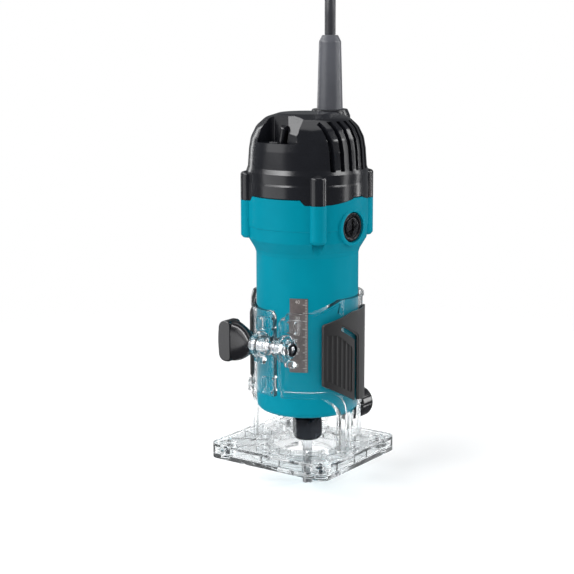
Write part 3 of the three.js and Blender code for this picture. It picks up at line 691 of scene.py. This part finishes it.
def cord_route():
    """The whole centreline; the straight part of the turns is what makes it its real length."""
    near = HANK["behind"] - HANK["half_depth"] + CORD["diameter"] / 2 + 0.5
    fold = HANK["half_width"] - CORD["diameter"] / 2 - 0.5
    low, high = reach("cord_hank")
    middle = (low.z + high.z) / 2
    straight = 74.0
    for _ in range(8):
        top = middle + straight / 2
        start = lead_in(near, fold, top)
        turns = hank_turns(near, middle, straight)
        while turns[-1].z < PLUG["top"] + 20:
            turns.pop()
        last = turns[-1]
        aside = Vector((PLUG["x"], PLUG["layer"], 0)) - Vector((last.x, last.y, 0))
        fall = last.z - PLUG["top"]
        tail = spline([turns[-2], last, last + aside * 0.2 - Vector((0, 0, fall * 0.35)),
                       last + aside * 0.85 - Vector((0, 0, fall * 0.72)),
                       (PLUG["x"], PLUG["layer"], PLUG["top"] + 0.3)])[12:]
        joined = [*start[:-1], *spline([start[-1], turns[0]], 8)[:-1], *turns[:-1], *tail]
        spare = CORD["length"] - run_length(joined)
        straight += spare / (2 * HANK["turns"])
    return joined


def add_cord():
    turn = Matrix.Rotation(math.radians(CORD["heading"]), 4, "Z")
    route = [turn @ p for p in cord_route()]
    data = bpy.data.curves.new("power_lead", "CURVE")
    data.dimensions, data.bevel_depth, data.bevel_resolution = "3D", CORD["diameter"] / 2 * MM, 5
    data.use_fill_caps = True
    line = data.splines.new("POLY")
    line.points.add(len(route) - 1)
    for point, where in zip(line.points, route):
        point.co = (*(where * MM), 1)
    line.use_smooth = True
    lead = linked("power_lead", data)
    place(lead, "motor", "cord_rubber", "power_cord", "cord_hank", "plug_lead")
    return lead, route


def at_hank(piece, x=0.0, y=0.0):
    """Moves a piece made about its own upright axis to its place in the cord's own frame."""
    return moved(moved(piece, (x, y, 0)), turn=CORD["heading"])


def add_plug():
    """A moulded two-pin plug with side grips and a ribbed strain relief, lying on the hank."""
    low, foot, top = PLUG["low"], PLUG["low"] + 38, PLUG["top"]
    plug = lofted("plug", [
        (low, 11.8, 5.8, 4), (low + 0.5, 12.6, 6.6, 4), (low + 1.4, 13, 7, 4), (low + 16, 13, 7, 4),
        (low + 24, 12.4, 6.9, 3.4), (low + 31, 10.6, 6.6, 3), (low + 35.5, 8.6, 6.2, 2.6),
        (foot - 0.4, 6.6, 5.8, 2.2), (foot, 6, 5.4, 2),
    ], "Z", 96)
    rings = []
    for k in range(5):
        z = foot + 1.4 + 2.6 * k
        radius = 5.3 - 0.22 * k
        rings += [(radius, z - 0.9, 0.3), (radius, z + 0.9, 0.3)]
        rings += [(radius - 0.9, z + 1.1, 0.2), (radius - 0.9, z + 1.6, 0.2)]
    join(plug, lathe("relief", [(0, foot - 2), (5.2, foot - 2), *rings, (4, top, 0.3), (0, top)], 2))
    grips = [(side * 13.3, 0, low + 7 + 3.2 * k) for side in (-1, 1) for k in range(5)]
    cut(plug, *(moved(lying(rod("grip", 0.8, -9, 9, 20), "Y"), grip) for grip in grips))
    soften(plug, 0.2, 2, 44)
    pieces = [place(at_hank(plug, PLUG["x"], PLUG["layer"]), "motor", "cord_rubber", "plug_body")]
    for k, side in enumerate((-1, 1)):
        tip, x = low - 19, PLUG["x"] + side * 9.3
        body = [(1.95, low - 9.4), (1.6, low - 9.4), (1.6, low - 0.4), (0, low - 0.4)]
        pin = lathe(f"contact_pin_{k + 1}", [(0, tip), (1.2, tip, 0.3), (1.95, tip + 1.4, 0.5), *body], 3, 32)
        skin = [(1.62, low - 9.2), (1.98, low - 9.2, 0.1), (1.98, low - 0.3), (1.62, low - 0.3)]
        sleeve = turned(f"pin_sleeve_{k + 1}", rounded(skin, 2), 32)
        pieces.append(place(at_hank(pin, x, PLUG["layer"]), "motor", "steel", f"plug_pin_{k + 1}"))
        pieces.append(place(at_hank(sleeve, x, PLUG["layer"]), "motor", "cord_rubber"))
    return pieces


def add_strap():
    """A hook-and-loop strap round the hank and the plug, with its end laid over itself."""
    low, high = reach("cord_tie")
    half = HANK["half_width"]
    front, back = HANK["behind"] - HANK["half_depth"], HANK["behind"] + HANK["half_depth"]
    plug_back, plug_side = PLUG["layer"] + 7, PLUG["x"] + 13

    def loop(out):
        return rounded([(-half - out, front - out, 6), (half + out, front - out, 6), (half + out, back - 4, 8),
                        (plug_side + out, back + 2, 8), (plug_side + out, plug_back + out, 4),
                        (PLUG["x"] - 13 - out, plug_back + out, 6), (-half - out, back + out / 2, 6)], 8)

    def band(inner, outer, bottom, top):
        ring = prism("hank_strap", loop(outer), bottom, top)
        return cut(ring, prism("inside", loop(inner), bottom - 1, top + 1))

    strap = band(0.4, 1.3, low.z + 0.2, high.z - 0.2)
    tab = meet(band(1.1, 1.9, low.z + 0.6, high.z - 0.6), block("part", (-20, 14), (0, 90), (0, 200)))
    join(strap, tab)
    soften(strap, 0.2, 2, 50)
    return place(at_hank(strap), "motor", "strap_fabric", "cord_tie")


# ---- motor unit -----------------------------------------------------------------------------------

BODY = {"radius": 32.4, "inner": 29.5, "bottom": 32.0}
HEAD = {"radius": 38.3, "inner": 35.0, "split": 170.5}
DOME = [(38.3, 178.2, 0.5), (37.9, 179.4, 0.5), (38.3, 185.2, 0.8), (37.25, 188.2, 0.8), (36.5, 199, 8),
        (35.3, 206, 9), (32, 212.8, 9), (26, 218.2, 8), (17.5, 220.9, 6)]
PILLAR = {"at": 37.0, "radius": 5.25, "top": 186.0}
PILLAR_AZIMUTHS = (45, 135, 225, 315)
POCKET = {"floor": 204.0, "front": 14.5, "back": 12.3, "back_y": -20.0, "wall": 2.2}
VENT = {"count": 7, "pitch": 6.3, "width": 2.9, "bottom": 187.2, "top": 216.8, "reach": 21.0}
BRUSH = {"z": 152.5, "cap": 9.2, "ring": 11.5, "floor": 33.5, "turn": -7.5}
GUARD_Y = 25.0
SIDES = (("left", -1), ("right", 1))


def facing(piece, azimuth):
    """Turns a piece made at the front to an azimuth, in degrees from the front towards the right."""
    return moved(piece, turn=azimuth)


def at_pillar(piece, azimuth):
    return facing(moved(piece, (0, -PILLAR["at"], 0)), azimuth)


def at_brush(piece, side):
    return moved(moved(lying(piece, "X", side), (0, 0, BRUSH["z"])), turn=BRUSH["turn"])


def boss_apron(azimuth, low, top, grow=0.0):
    """The patch of shell round a boss that belongs to the cover; its long slope is towards the side."""
    side = 1 if azimuth in (45, 225) else -1
    outline = [(-12.5 - grow, top), (-8.2 - grow, low), (8.2 + grow, low), (15 + grow, low + 0.9),
               (30 + grow, top)]
    return rounded([(side * x, z, 2) for x, z in outline])


def add_motor_case():
    split, bottom = HEAD["split"], BODY["bottom"]
    shell = turned("motor_case", rounded([
        (10.3, bottom), (BODY["radius"], bottom, 4), (BODY["radius"], 133.6, 2), (33.3, 136.4, 1.2),
        (37.5, 143.4, 2.2), (37.9, 150.9, 0.6), (HEAD["radius"], 151.5, 0.8), (HEAD["radius"], split, 0.5),
        (HEAD["inner"], split), (HEAD["inner"], 147), (BODY["inner"], 138), (BODY["inner"], bottom + 4),
        (10.3, bottom + 4),
    ], 5))
    parts, holes = [], []
    for azimuth in PILLAR_AZIMUTHS:
        radius = PILLAR["radius"]
        post = lathe("post", [(0, 143.6), (3.9, 143.6), (radius, 145.2, 1), (radius, split), (0, split)])
        parts.append(at_pillar(post, azimuth))
        sink = lathe("sink", [(0, 134), (3.9, 134), (3.5, 147.2, 0.4), (2.2, 147.2), (2.2, 175), (0, 175)], 2)
        holes.append(at_pillar(sink, azimuth))
        apron = prism("apron", boss_apron(azimuth, split - 3.2, split + 1), -50, -20, "Y")
        holes.append(facing(apron, azimuth))
    for _, side in SIDES:
        wide, floor = BRUSH["ring"], BRUSH["floor"]
        rim = [(0, 30), (wide + 0.9, 30), (wide, 38.3, 0.7), (9.6, 38.3, 0.5), (0, 38.3)]
        parts.append(at_brush(lathe("ring", rim, steps=64), side))
        seat = lathe("seat", [(0, 20), (7, 20), (7, floor), (9.5, floor, 0.6), (9.5, 50), (0, 50)], steps=64)
        holes.append(at_brush(seat, side))
    join(shell, *parts)
    cut(shell, *holes)
    soften(shell, 0.35, 2, 40)
    place(shell, "motor", "teal_plastic", "motor_housing")


def pocket_plan(grow):
    front, back, y = POCKET["front"] + grow, POCKET["back"] + grow, POCKET["back_y"] + grow
    return [(-front, -80), (front, -80), (front, -31), (back, y, 2.5), (-back, y, 2.5), (-front, -31)]


def cover_posts():
    """The cover's half of each screw boss, with the patch of shell round it, and the holes up the bosses."""
    split, inner, outer = HEAD["split"], HEAD["inner"], HEAD["radius"]
    radius, top = PILLAR["radius"], PILLAR["top"]
    parts, holes = [], []
    for azimuth in PILLAR_AZIMUTHS:
        post = lathe("post", [(0, split - 3), (radius, split - 3), (radius, top - 1.6, 1.8), (0, top)], 6)
        parts.append(at_pillar(post, azimuth))
        apron = prism("apron", boss_apron(azimuth, split - 3.0, split + 1, -0.2), -50, -20, "Y")
        band = turned("band", [(inner, split - 4), (outer, split - 4), (outer, split + 3), (inner, split + 3)])
        parts.append(facing(meet(band, apron), azimuth))
        holes.append(at_pillar(rod("screw_hole", 2.2, 160, 176), azimuth))
    return parts, holes


def add_head_cover():
    split, inner, floor = HEAD["split"], HEAD["inner"], POCKET["floor"]
    start = split + 0.25
    outer = rounded([(0, start), (HEAD["radius"], start, 0.5), *DOME, (0, 221.3)], 8, closed=False)
    cover = turned("head_cover", outer)
    cut(cover, turned("hollow", [(0, split - 1), (inner, split - 1), (inner, 183), (34.6, 190), (33.9, 199),
                                 (32.7, 205), (29.6, 210.4), (24, 215.4), (16, 218), (0, 218.6)]))
    parts, holes = cover_posts()

    whole = turned("whole", outer)
    tray = rounded(pocket_plan(POCKET["wall"]), 4)
    parts.append(meet(whole, prism("tray", tray, floor - POCKET["wall"], 230)))
    collar = [(0, 205), (13, 205), (13, 217.6), (11.2, 221.8, 0.8), (8.6, 221.8, 0.4), (8.6, 220.4), (0, 220.4)]
    parts.append(moved(lathe("collar", collar, steps=64), (0, GUARD_Y, 0)))
    holes.append(prism("pocket", rounded(pocket_plan(0), 6), floor, 240))
    holes.append(block("lever_slot", (-8, 8.4), (-31.6, -24.4), (floor - 5, floor + 1)))
    for k in range(VENT["count"]):
        y = (k - (VENT["count"] - 1) / 2) * VENT["pitch"]
        for _, side in SIDES:
            width = (y - VENT["width"] / 2, y + VENT["width"] / 2)
            holes.append(block("vent", towards(side, VENT["reach"], 60), width, (VENT["bottom"], VENT["top"])))
    guard_hole = [(0, 200), (9.3, 200), (9.3, 212.3), (7.8, 212.3), (7.8, 240), (0, 240)]
    holes.append(moved(turned("guard_hole", guard_hole, SMALL_ROUND), (0, GUARD_Y, 0)))
    join(cover, *parts)
    cut(cover, *holes)

    # the sloped corner beside the lever
    ramp = [(-0.6, -19.5, 220.1), (14.8, -19.5, 221.3), (14.8, -31.5, 209), (6.9, -29.8, 210.1)]
    slope = hull("slope", ramp + [(x, y, floor - 0.2) for x, y, _ in ramp])
    join(cover, meet(slope, turned("whole", outer)))
    soften(cover, 0.55, 3, 30)
    place(cover, "motor", "black_plastic", "top_cover")

    bar = block("slot_bar", (-5.2, 1.0), (-33.2, -31.8), (floor - 1, floor + 0.8))
    place(soften(bar, 0.3), "motor", "black_plastic")


def add_brush_caps():
    """Screw caps over the brushes, with a groove round the middle and a slot across."""
    rim = BRUSH["cap"]
    top = [(rim, 37.4, 0.9), (7.3, 37.4, 0.5), (6.9, 36.2, 0.3), (5.9, 36.2, 0.3), (5.6, 37.6, 0.5), (0, 37.6)]
    for name, side in SIDES:
        cap = lathe("cap", [(0, 31.7), (5.4, 31.7), (5.4, 33.6), (rim, 33.8, 0.3), *top], steps=64)
        cut(cap, block("slot", (-0.8, 0.8), (-5, 5), (35.6, 40)))
        soften(cap, 0.2, 2, 40)
        moved(cap, turn=86 * side)
        at_brush(cap, side)
        place(cap, "motor", "black_plastic", f"brush_cap_{name}")


def add_guard():
    """The moulded sleeve that carries the cord out of the head."""
    taper = [(8.2, 221.6), (7.9, 232, 20), (7.25, 255, 20), (7.0, 264, 2), (5.0, 268, 0.6), (0, 268)]
    guard = lathe("cord_sleeve", [(0, 209), (9, 209), (9, 212), (7.4, 212), (7.4, 221), *taper], 6, 64)
    place(moved(guard, (0, GUARD_Y, 0)), "motor", "cord_rubber", "cord_guard", paint="guard_rubber")


def add_lever():
    """A finger with a round top and round edges, a little wider above the cover than in its slot."""
    waist, half, top = 2.5, 3.2, 19.2
    side = [(-waist, -3), (waist, -3), (waist, 7.5), (half, 8.2), (half, top, half), (-half, top, half),
            (-half, 8.2), (-waist, 7.5)]
    lever = prism("lever", rounded(side, 8), -1.7, 1.7, "X")
    meet(lever, prism("lever_plan", rectangle(3.4, 6.4, 1.6, 8), -4, 20))
    soften(lever, 0.5, 3, 40)
    low, high = reach("switch_lever")
    moved(moved(lever, turn=10, axis="Y"), (0, (low.y + high.y) / 2, 196))
    place(lever, "switch_lever", "knob_plastic", "switch_lever")


def add_scale_figure(number, surface):
    """A figure of the scale, bent round the motor body at the surface radius."""
    text = bpy.data.curves.new("figure", "FONT")
    text.body, text.size, text.align_x, text.extrude = str(number), 3.1 * MM, "CENTER", 0.02 * MM
    drawn = linked("figure", text)
    bpy.context.view_layer.update()
    mesh = bpy.data.meshes.new_from_object(drawn.evaluated_get(bpy.context.evaluated_depsgraph_get()))
    bpy.data.objects.remove(drawn)
    figure = linked(f"scale_figure_{number}", mesh)
    for vertex in mesh.vertices:
        x, y, out = vertex.co
        angle = math.radians(LABEL["left"] + 8.6) + x / (surface * MM)
        radius = (surface + 0.03) * MM + out
        vertex.co = (radius * math.sin(angle), -radius * math.cos(angle), y + (LABEL["zero"] + number) * MM)
    place(figure, "motor", "label_film", paint="label_ink")


def add_label():
    inner, outer = LABEL["inner"], LABEL["outer"]
    steps = 24
    left, right = math.radians(LABEL["left"]), math.radians(LABEL["right"])
    angles = [left + (right - left) * k / steps for k in range(steps + 1)]
    plan = [(outer * math.sin(a), -outer * math.cos(a)) for a in angles]
    plan += [(inner * math.sin(a), -inner * math.cos(a)) for a in reversed(angles)]
    low, high = reach("scale_label")
    place(prism("scale", plan, low.z, high.z), "motor", "label_film", "scale_label")
    for number in range(0, 41, 10):
        add_scale_figure(number, outer)


def cross_cut(screw, half, wide, low, high):
    """Cuts a cross recess; half is its reach from the axis and wide its half width."""
    return cut(screw, block("slot", (-wide, wide), (-half, half), (low, high)),
               block("slot", (-half, half), (-wide, wide), (low, high)))


def add_cover_screws():
    profile = [(0, 144.5), (2.9, 144.5, 0.6), (2.9, 147, 0.2), (1.9, 147), (1.9, 175.2, 0.5), (0, 175.2)]
    for k, azimuth in enumerate(PILLAR_AZIMUTHS):
        screw = lathe("screw", profile, 3, 32)
        cross_cut(screw, 2, 0.4, 144, 145.6)
        place(at_pillar(screw, azimuth), "motor", "steel", f"cover_screw_{k + 1}")


# ---- base -----------------------------------------------------------------------------------------

PLATE = {"x": (-47.4, 42.4), "y": (-42.6, 41.0), "corner": 6.0, "top": 9.6, "under": 3.3}
SLEEVE = {"inner": 32.95, "outer": 35.2, "side_top": 107.5}
CLAMP = {"x": 2.4, "y": -41.0, "z": 79.5, "lug": 6.2, "flange": 8.6, "end": 15.0, "split": 2.5}
SCREWS = [(33.4, -33.6), (33.4, 32.0), (-38.4, 32.0), (-38.4, -33.6)]
OPENING = 23.0
LEG_REST_AZIMUTH = -57
GUIDE_Z = (reach("guide_stud")[0].z + reach("guide_stud")[1].z) / 2


def at_screws(make):
    """A piece at each screw of the sole, from a function that makes one on the axis."""
    return [moved(make(), (x, y, 0)) for x, y in SCREWS]


def top_outline():
    """What is cut off the front of the sleeve above its top edge."""
    return rounded([(-60, 100), (-27, 100, 3), (-12, 107.5, 2), (40, 107.5), (40, 140), (-60, 140)], 4)


def plate_outline(margin=0.0):
    (left, right), (front, rear) = PLATE["x"], PLATE["y"]
    middle = ((left + right) / 2, (front + rear) / 2)
    return rectangle(right - left - 2 * margin, rear - front - 2 * margin, PLATE["corner"] - margin, 10, middle)


def plate_body():
    """The base plate: a dished deck with a skirt, screw bosses, and round and straight ribs below."""
    top, under = PLATE["top"], PLATE["under"]
    plate = prism("plate", plate_outline(), under, top)
    cut(plate, prism("hollow", plate_outline(2.6), under - 1, top - 2.6))
    cut(plate, prism("dip", plate_outline(2.2), top - 0.8, top + 1))
    parts = at_screws(lambda: rod("boss", 5.6, under, top - 0.05, 40, 0.4))
    for radius in (25.6, 34.5):
        parts.append(tube("round_rib", radius - 1.2, radius, under, top - 0.2, 96))
    sides = [(azimuth, 10, 46, 0.3) for azimuth in (0, 90, 180, 270)]
    corners = [(math.degrees(math.atan2(x, -y)), 11, 52, 0.4) for x, y in SCREWS]
    for azimuth, spread, far, below in sides + corners:
        for lean in (-spread, spread):
            rib = block("rib", (-0.7, 0.7), (-far, -25), (under, top - below))
            parts.append(facing(rib, azimuth + lean))
    ribs = join(parts[0], *parts[1:])
    join(plate, meet(ribs, prism("whole", plate_outline(0.2), under - 1, top + 1)))
    holes = at_screws(lambda: rod("screw_hole", 1.7, 0, top - 1.4, 24))
    marks = at_screws(lambda: rod("top_mark", 2.6, top - 0.6, 12, 24))
    cut(plate, rod("opening", OPENING, 0, 20, 96), *holes, *marks)
    return plate


def open_frame(x, z, wall=1.2):
    """A low rectangular frame on the front of the sleeve."""
    ledge = block("frame", x, (-38.4, -29), z)
    return cut(ledge, block("inside", (x[0] + wall, x[1] - wall), (-60, -34), (z[0] + wall, z[1] - wall)))


def at_clamp(piece):
    return moved(piece, (CLAMP["x"], CLAMP["y"], CLAMP["z"]))


def lug_parts(side):
    """A clamp lug with its flange, web and nut ring, the ribbed frames by it and the rib along the split."""
    near, far, y, z = CLAMP["split"], CLAMP["end"], CLAMP["y"], CLAMP["z"]
    lug, flange = CLAMP["lug"], CLAMP["flange"]
    barrel = lathe("barrel", [
        (0, near), (lug, near, 0.8), (lug, 8), (flange, 8, 0.7), (flange, 11, 0.7), (lug + 0.3, 11),
        (lug + 0.3, 13.2, 0.6), (lug - 0.5, 13.4), (lug - 0.7, far, 0.7), (0, far),
    ], steps=64)
    parts = [
        moved(lying(barrel, "X", side), (0, y, z)),
        block("web", towards(side, near, far - 2), (y, -31), (z - 5.2, z + 5.2)),
        prism("split_rib", rounded([(-38.6, 50, 2), (-38.6, 97, 3), (-34, 100, 1), (-30, 100), (-30, 50)], 4),
              *towards(side, near, near + 2.2), "X"),
        open_frame(towards(side, 4.2, 14.6), (88.4, 96.2)),
        moved(lying(rod("stop", 2.3, 8, 14.8, 32, 0.6), "X", side), (0, -38.2, z - 10.3)),
    ]
    if side < 0:
        parts.append(open_frame(towards(side, 3.4, 11), (48, 58)))
    return [moved(part, (CLAMP["x"], 0, 0)) for part in parts]


def leg_rest():
    """The ridged rest on the front left leg, and the leg's own rib below it."""
    section = ((-33, 50.4), (-37.9, 49.4), (-38.1, 43.6), (-33, 38))
    rest = hull("rest", [(x, y, z) for x in (-4.4, 4.4) for y, z in section])
    for z in (44.6, 47.6):
        cut(rest, moved(block("groove", (-6, 6), (-40, -36.6), (-0.6, 0.6)), (0, 0, z)))
    rib = block("leg_rib", (-3.4, 3.4), (-36.7, -33), (PLATE["top"] - 0.8, 44))
    return [facing(rest, LEG_REST_AZIMUTH), facing(rib, LEG_REST_AZIMUTH)]


def front_arch(grow=0.0):
    """The front window from the side, in (y, z), or the outer edge of the rim that runs round it."""
    return rounded([(-60, 8), (-12 + grow, 8), (-12 + grow, 37 + grow, 10 + grow),
                    (-22 + grow, 46 + grow, 12 + grow), (-60, 46 + grow)], 8)


def split_slot():
    """The slot down the front of the sleeve, whose upper corners are rounded."""
    x, half = CLAMP["x"], CLAMP["split"]
    left, right = x - half, x + half
    outline = rounded([(left, 36), (right, 36), (right, 95, 5), (right + 4.5, 100.2, 5), (right + 4.5, 140),
                       (left - 2, 140), (left - 2, 100.2, 3), (left, 97, 3)], 6)
    return prism("split", outline, -60, -20, "Y")


def add_base_moulding():
    inner, outer, side_top = SLEEVE["inner"], SLEEVE["outer"], SLEEVE["side_top"]
    sleeve = tube("ring", inner, outer, PLATE["top"] - 1, side_top)
    rim = tube("ring", outer - 0.5, 36.5, PLATE["top"] - 0.8, side_top)
    meet(rim, prism("rim_outside", front_arch(4.2), -60, 60, "X"))
    crown = tube("ring", outer - 0.5, 36.0, 90, side_top)
    below = rounded([(-60, 60), (60, 60), (60, 106), (-12, 106, 2), (-27, 98.5, 3), (-60, 98.5)], 4)
    cut(crown, prism("crown_low", below, -60, 60, "X"))
    join(sleeve, rim, crown)
    cut(sleeve, prism("top", top_outline(), -60, 60, "X"), prism("arch", front_arch(), -60, 60, "X"))
    for _, side in SIDES:
        window = rounded([(-1.8, 8), (24.3, 8), (24.3, 36, 5), (-1.8, 36, 5)], 5)
        cut(sleeve, prism("side_window", window, *towards(side, 20, 60), "X"))
    cut(sleeve, prism("rear_window", rounded([(-21, 8), (21, 8), (21, 36, 6), (-21, 36, 6)], 5), 15, 60, "Y"))

    guide = block("guide", (-9, 9), (33.4, 41), (PLATE["top"] - 1, 30))
    nub = hull("nub", [(-2, -34, 99), (2, -34, 99), (-2, -36.4, 99.4), (2, -36.4, 99.4), (0, -34, 106.5),
                       (0, -35.6, 106)])
    base = join(plate_body(), sleeve, *lug_parts(-1), *lug_parts(1), *leg_rest(), facing(nub, 70), guide)
    bolt = lying(rod("bolt_hole", 2.8, -30, 30, 24), "X")
    pocket = lying(rod("nut_pocket", 4.9, 11, 20, 6), "X")
    stud = lying(rod("stud_hole", 3.3, 30, 60, 24), "Y")
    bore = rod("bore", inner, PLATE["top"] + 0.5, 140, ROUND)
    cut(base, bore, split_slot(), at_clamp(bolt), at_clamp(pocket), moved(stud, (0, 0, GUIDE_Z)))
    soften(base, 0.4, 2, 36)
    place(base, "base", "clear_plastic", "clear_base")


def add_sole_plate():
    """The sole, with countersinks and three shallow turned lines on its upper face."""
    sole = prism("sole", plate_outline(), 0, 3)
    sink = [(0, -1), (3.5, -1), (3.5, 0.8), (1.8, 2.4), (1.8, 5), (0, 5)]
    lines = [tube("ring_line", radius, radius + 0.6, 2.7, 4, 96) for radius in (24, 31, 38)]
    cut(sole, rod("hole", 16, -1, 5, 96), *at_screws(lambda: turned("sink", sink, 32)), *lines)
    soften(sole, 0.5, 3, 40)
    place(sole, "base", "clear_plastic", "sole_plate")


def add_sole_screws():
    profile = [(0, 0.3), (3.1, 0.3, 0.2), (3.1, 0.8, 0.2), (1.45, 2.4), (1.45, 7.4, 0.4), (0, 7.4)]
    for k, (x, y) in enumerate(SCREWS):
        screw = lathe("screw", profile, 2, 32)
        cross_cut(screw, 1.7, 0.35, 0, 1.3)
        place(moved(screw, (x, y, 0)), "base", "dark_steel", f"sole_screw_{k + 1}")


def add_grips():
    """The side pads: a shouldered face with a bent slot, a low edge round the slot, and a fluted panel."""
    face = rounded([(-23.1, 54, 2), (-0.6, 41.6, 4), (23.1, 38, 2), (23.1, 99, 2), (-3, 99, 4),
                    (-23.1, 93, 2)], 4)
    slot = rounded([(-11.5, 91.2, 0.8), (2.7, 82.6, 1.5), (3.3, 30), (0.0, 30), (-0.4, 80.9, 1),
                    (-12.6, 88.4, 0.8)], 4)
    edge = rounded([(-13.4, 93, 1.2), (4.0, 83.4, 2), (4.4, 30), (-1.4, 30), (-1.8, 80.2, 1.6),
                    (-14.6, 87.4, 1.2)], 4)
    panel = rounded([(-22, 57.8, 1), (-3.4, 47.0, 1), (-3.4, 76.5, 2), (-14.6, 85.4, 2), (-22, 86.6, 1)], 3)
    for name, side in SIDES:
        x = towards(side, 15, 60)
        pad = tube("ring", 35.5, 36.8, 30, 110)
        meet(pad, prism("face", face, *x, "X"))
        cut(pad, prism("slot", slot, *x, "X"))
        cut(pad, meet(tube("ring", 36.4, 40, 30, 110), prism("edge", edge, *x, "X")))
        flutes = [moved(rod("flute", 2.3, 30, 110, 24), (0, -38.4, 0)) for _ in range(6)]
        for k, flute in enumerate(flutes):
            facing(flute, side * (56.6 + 5.4 * k))
        cut(pad, meet(join(flutes[0], *flutes[1:]), prism("panel", panel, *x, "X")))
        soften(pad, 0.25, 2, 36)
        place(pad, "base", "grip_rubber", f"{name}_grip_pad")


def add_clamp():
    """The winged knob on the left, the bolt through both lugs and the nut in the right one."""
    bar = [(-28.8, 12.9, 2.5), (-37.9, 13.1, 4.8), (-38.9, 0, 60), (-37.9, -13.1, 4.8), (-28.8, -12.9, 2.5)]
    knob = prism("wing", rounded(bar, 8), -5.6, 5.6, "Y")
    neck, length, swells = 15.4, 14.2, 16
    sections = []
    for k in range(swells + 1):
        share = k / swells
        high = 5.4 + 7.3 * math.sin(share * math.pi / 2) ** 0.9
        deep = 5.5 - 1.1 * math.sin(share * math.pi)
        sections.append((-neck - length * share, deep, high, 2 + 1.6 * share * share))
    soften(knob, 0.9, 4, 40)
    join(knob, lofted("trumpet", sections, "X"))
    cut(knob, lying(rod("hole", 2.8, -26.4, 0, 24), "X"))
    place(at_clamp(knob), "clamp_knob", "knob_plastic", "clamp_knob")

    profile = [(0, -26), (2.2, -26), (2.5, -25.6), *thread(2.5, 2.15, 6, 16.2, 0.8), (0, 16.6)]
    bolt = lying(lathe("bolt", profile, 1, 32), "X")
    place(at_clamp(bolt), "clamp_knob", "steel", "clamp_bolt", angle=50)

    nut = rod("nut", 4.5, 11.4, 16, 6)
    meet(nut, lathe("chamfer", [(0, 11.4), (3.9, 11.4), (4.6, 12), (4.6, 15.4), (3.9, 16), (0, 16)], 1))
    cut(nut, rod("hole", 2.8, 10, 17, 32))
    place(at_clamp(lying(nut, "X")), "base", "dark_steel", "clamp_nut")


def add_guide_knob():
    knob = lathe("knob", [(0, 48), (7.6, 48, 0.6), (8, 50.6, 0.4), (10.6, 51.6, 1), (10.6, 62.6, 2),
                          (9, 65, 1.2), (4, 64, 2), (0, 63.8)], 5, 96)
    notches = [moved(rod("notch", 1.3, 50, 70, 16), (11.4, 0, 0)) for _ in range(12)]
    for k, notch in enumerate(notches):
        moved(notch, turn=30 * k)
    cut(knob, rod("hole", 3.3, 40, 57, 32), *notches)
    soften(knob, 0.35, 2, 40)
    place(moved(lying(knob, "Y"), (0, 0, GUIDE_Z)), "guide_knob", "knob_plastic", "guide_knob")
    stud = lathe("stud", [(0, 34.2), (2.6, 34.2), (3, 34.6), *thread(3.0, 2.6, 36, 56, 1.0), (0, 56.6)], 1, 32)
    place(moved(lying(stud, "Y"), (0, 0, GUIDE_Z)), "guide_knob", "steel", "guide_stud", angle=50)


# ---- cutting end ----------------------------------------------------------------------------------

def add_collet_nut():
    """A hex nut, 17 across its flats, chamfered at both ends and open for the collet and the shank."""
    nut = moved(rod("nut", 17 / math.sqrt(3), 10.9, 24.5, 6), turn=18)
    shape = [(0, 10.9), (7.9, 10.9, 0.5), (9.9, 13.2, 1), (9.9, 22.6, 1), (8.9, 24.5, 0.5), (0, 24.5)]
    meet(nut, lathe("shape", shape, steps=96))
    cut(nut, rod("mouth", 3.5, 0, 13, 48), rod("inside", 7, 12.9, 40, 48))
    soften(nut, 0.3, 2, 30)
    place(nut, "collet_nut", "dark_steel", "collet_nut")


def add_bit():
    """A straight two-flute cutter."""
    bit = lathe("bit", [(0, -19.6), (3, -19.6, 0.2), (3, 4.4, 0.2), (2.92, 4.8), (2.92, 40, 0.3), (0, 40)], 2)
    gullets = []
    for k in (0, 1):
        gullet = prism("gullet", rounded([(0.7, -0.4, 0.5), (5, -0.9), (5, -5), (0.7, -5)], 4), -21, 2.4)
        gullets.append(moved(gullet, turn=180 * k))
    cut(bit, *gullets)
    # the cutter takes the steel whose colour is painted lighter to look brightly lit
    place(bit, "cutter_bit", "steel", "cutter_bit", angle=30, paint="bit_steel")


# ---- the whole ------------------------------------------------------------------------------------

for add in (add_camera, add_studio, add_motor_case, add_head_cover, add_brush_caps, add_guard, add_lever,
            add_label, add_cover_screws, add_base_moulding, add_sole_plate, add_sole_screws, add_grips,
            add_clamp, add_guide_knob, add_collet_nut, add_bit):
    add()
lead, lead_route = add_cord()

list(add_plug())
add_strap()

# ---- carried over nodes --------------------------------------------------------------------------

for entry in frame["record"]["subparts"]:
    node = bpy.data.objects.get(entry["node"])
    if node and not node.hide_render:
        node.data.materials.clear()
        node.data.materials.append(MATERIALS[entry["material_slot"]])
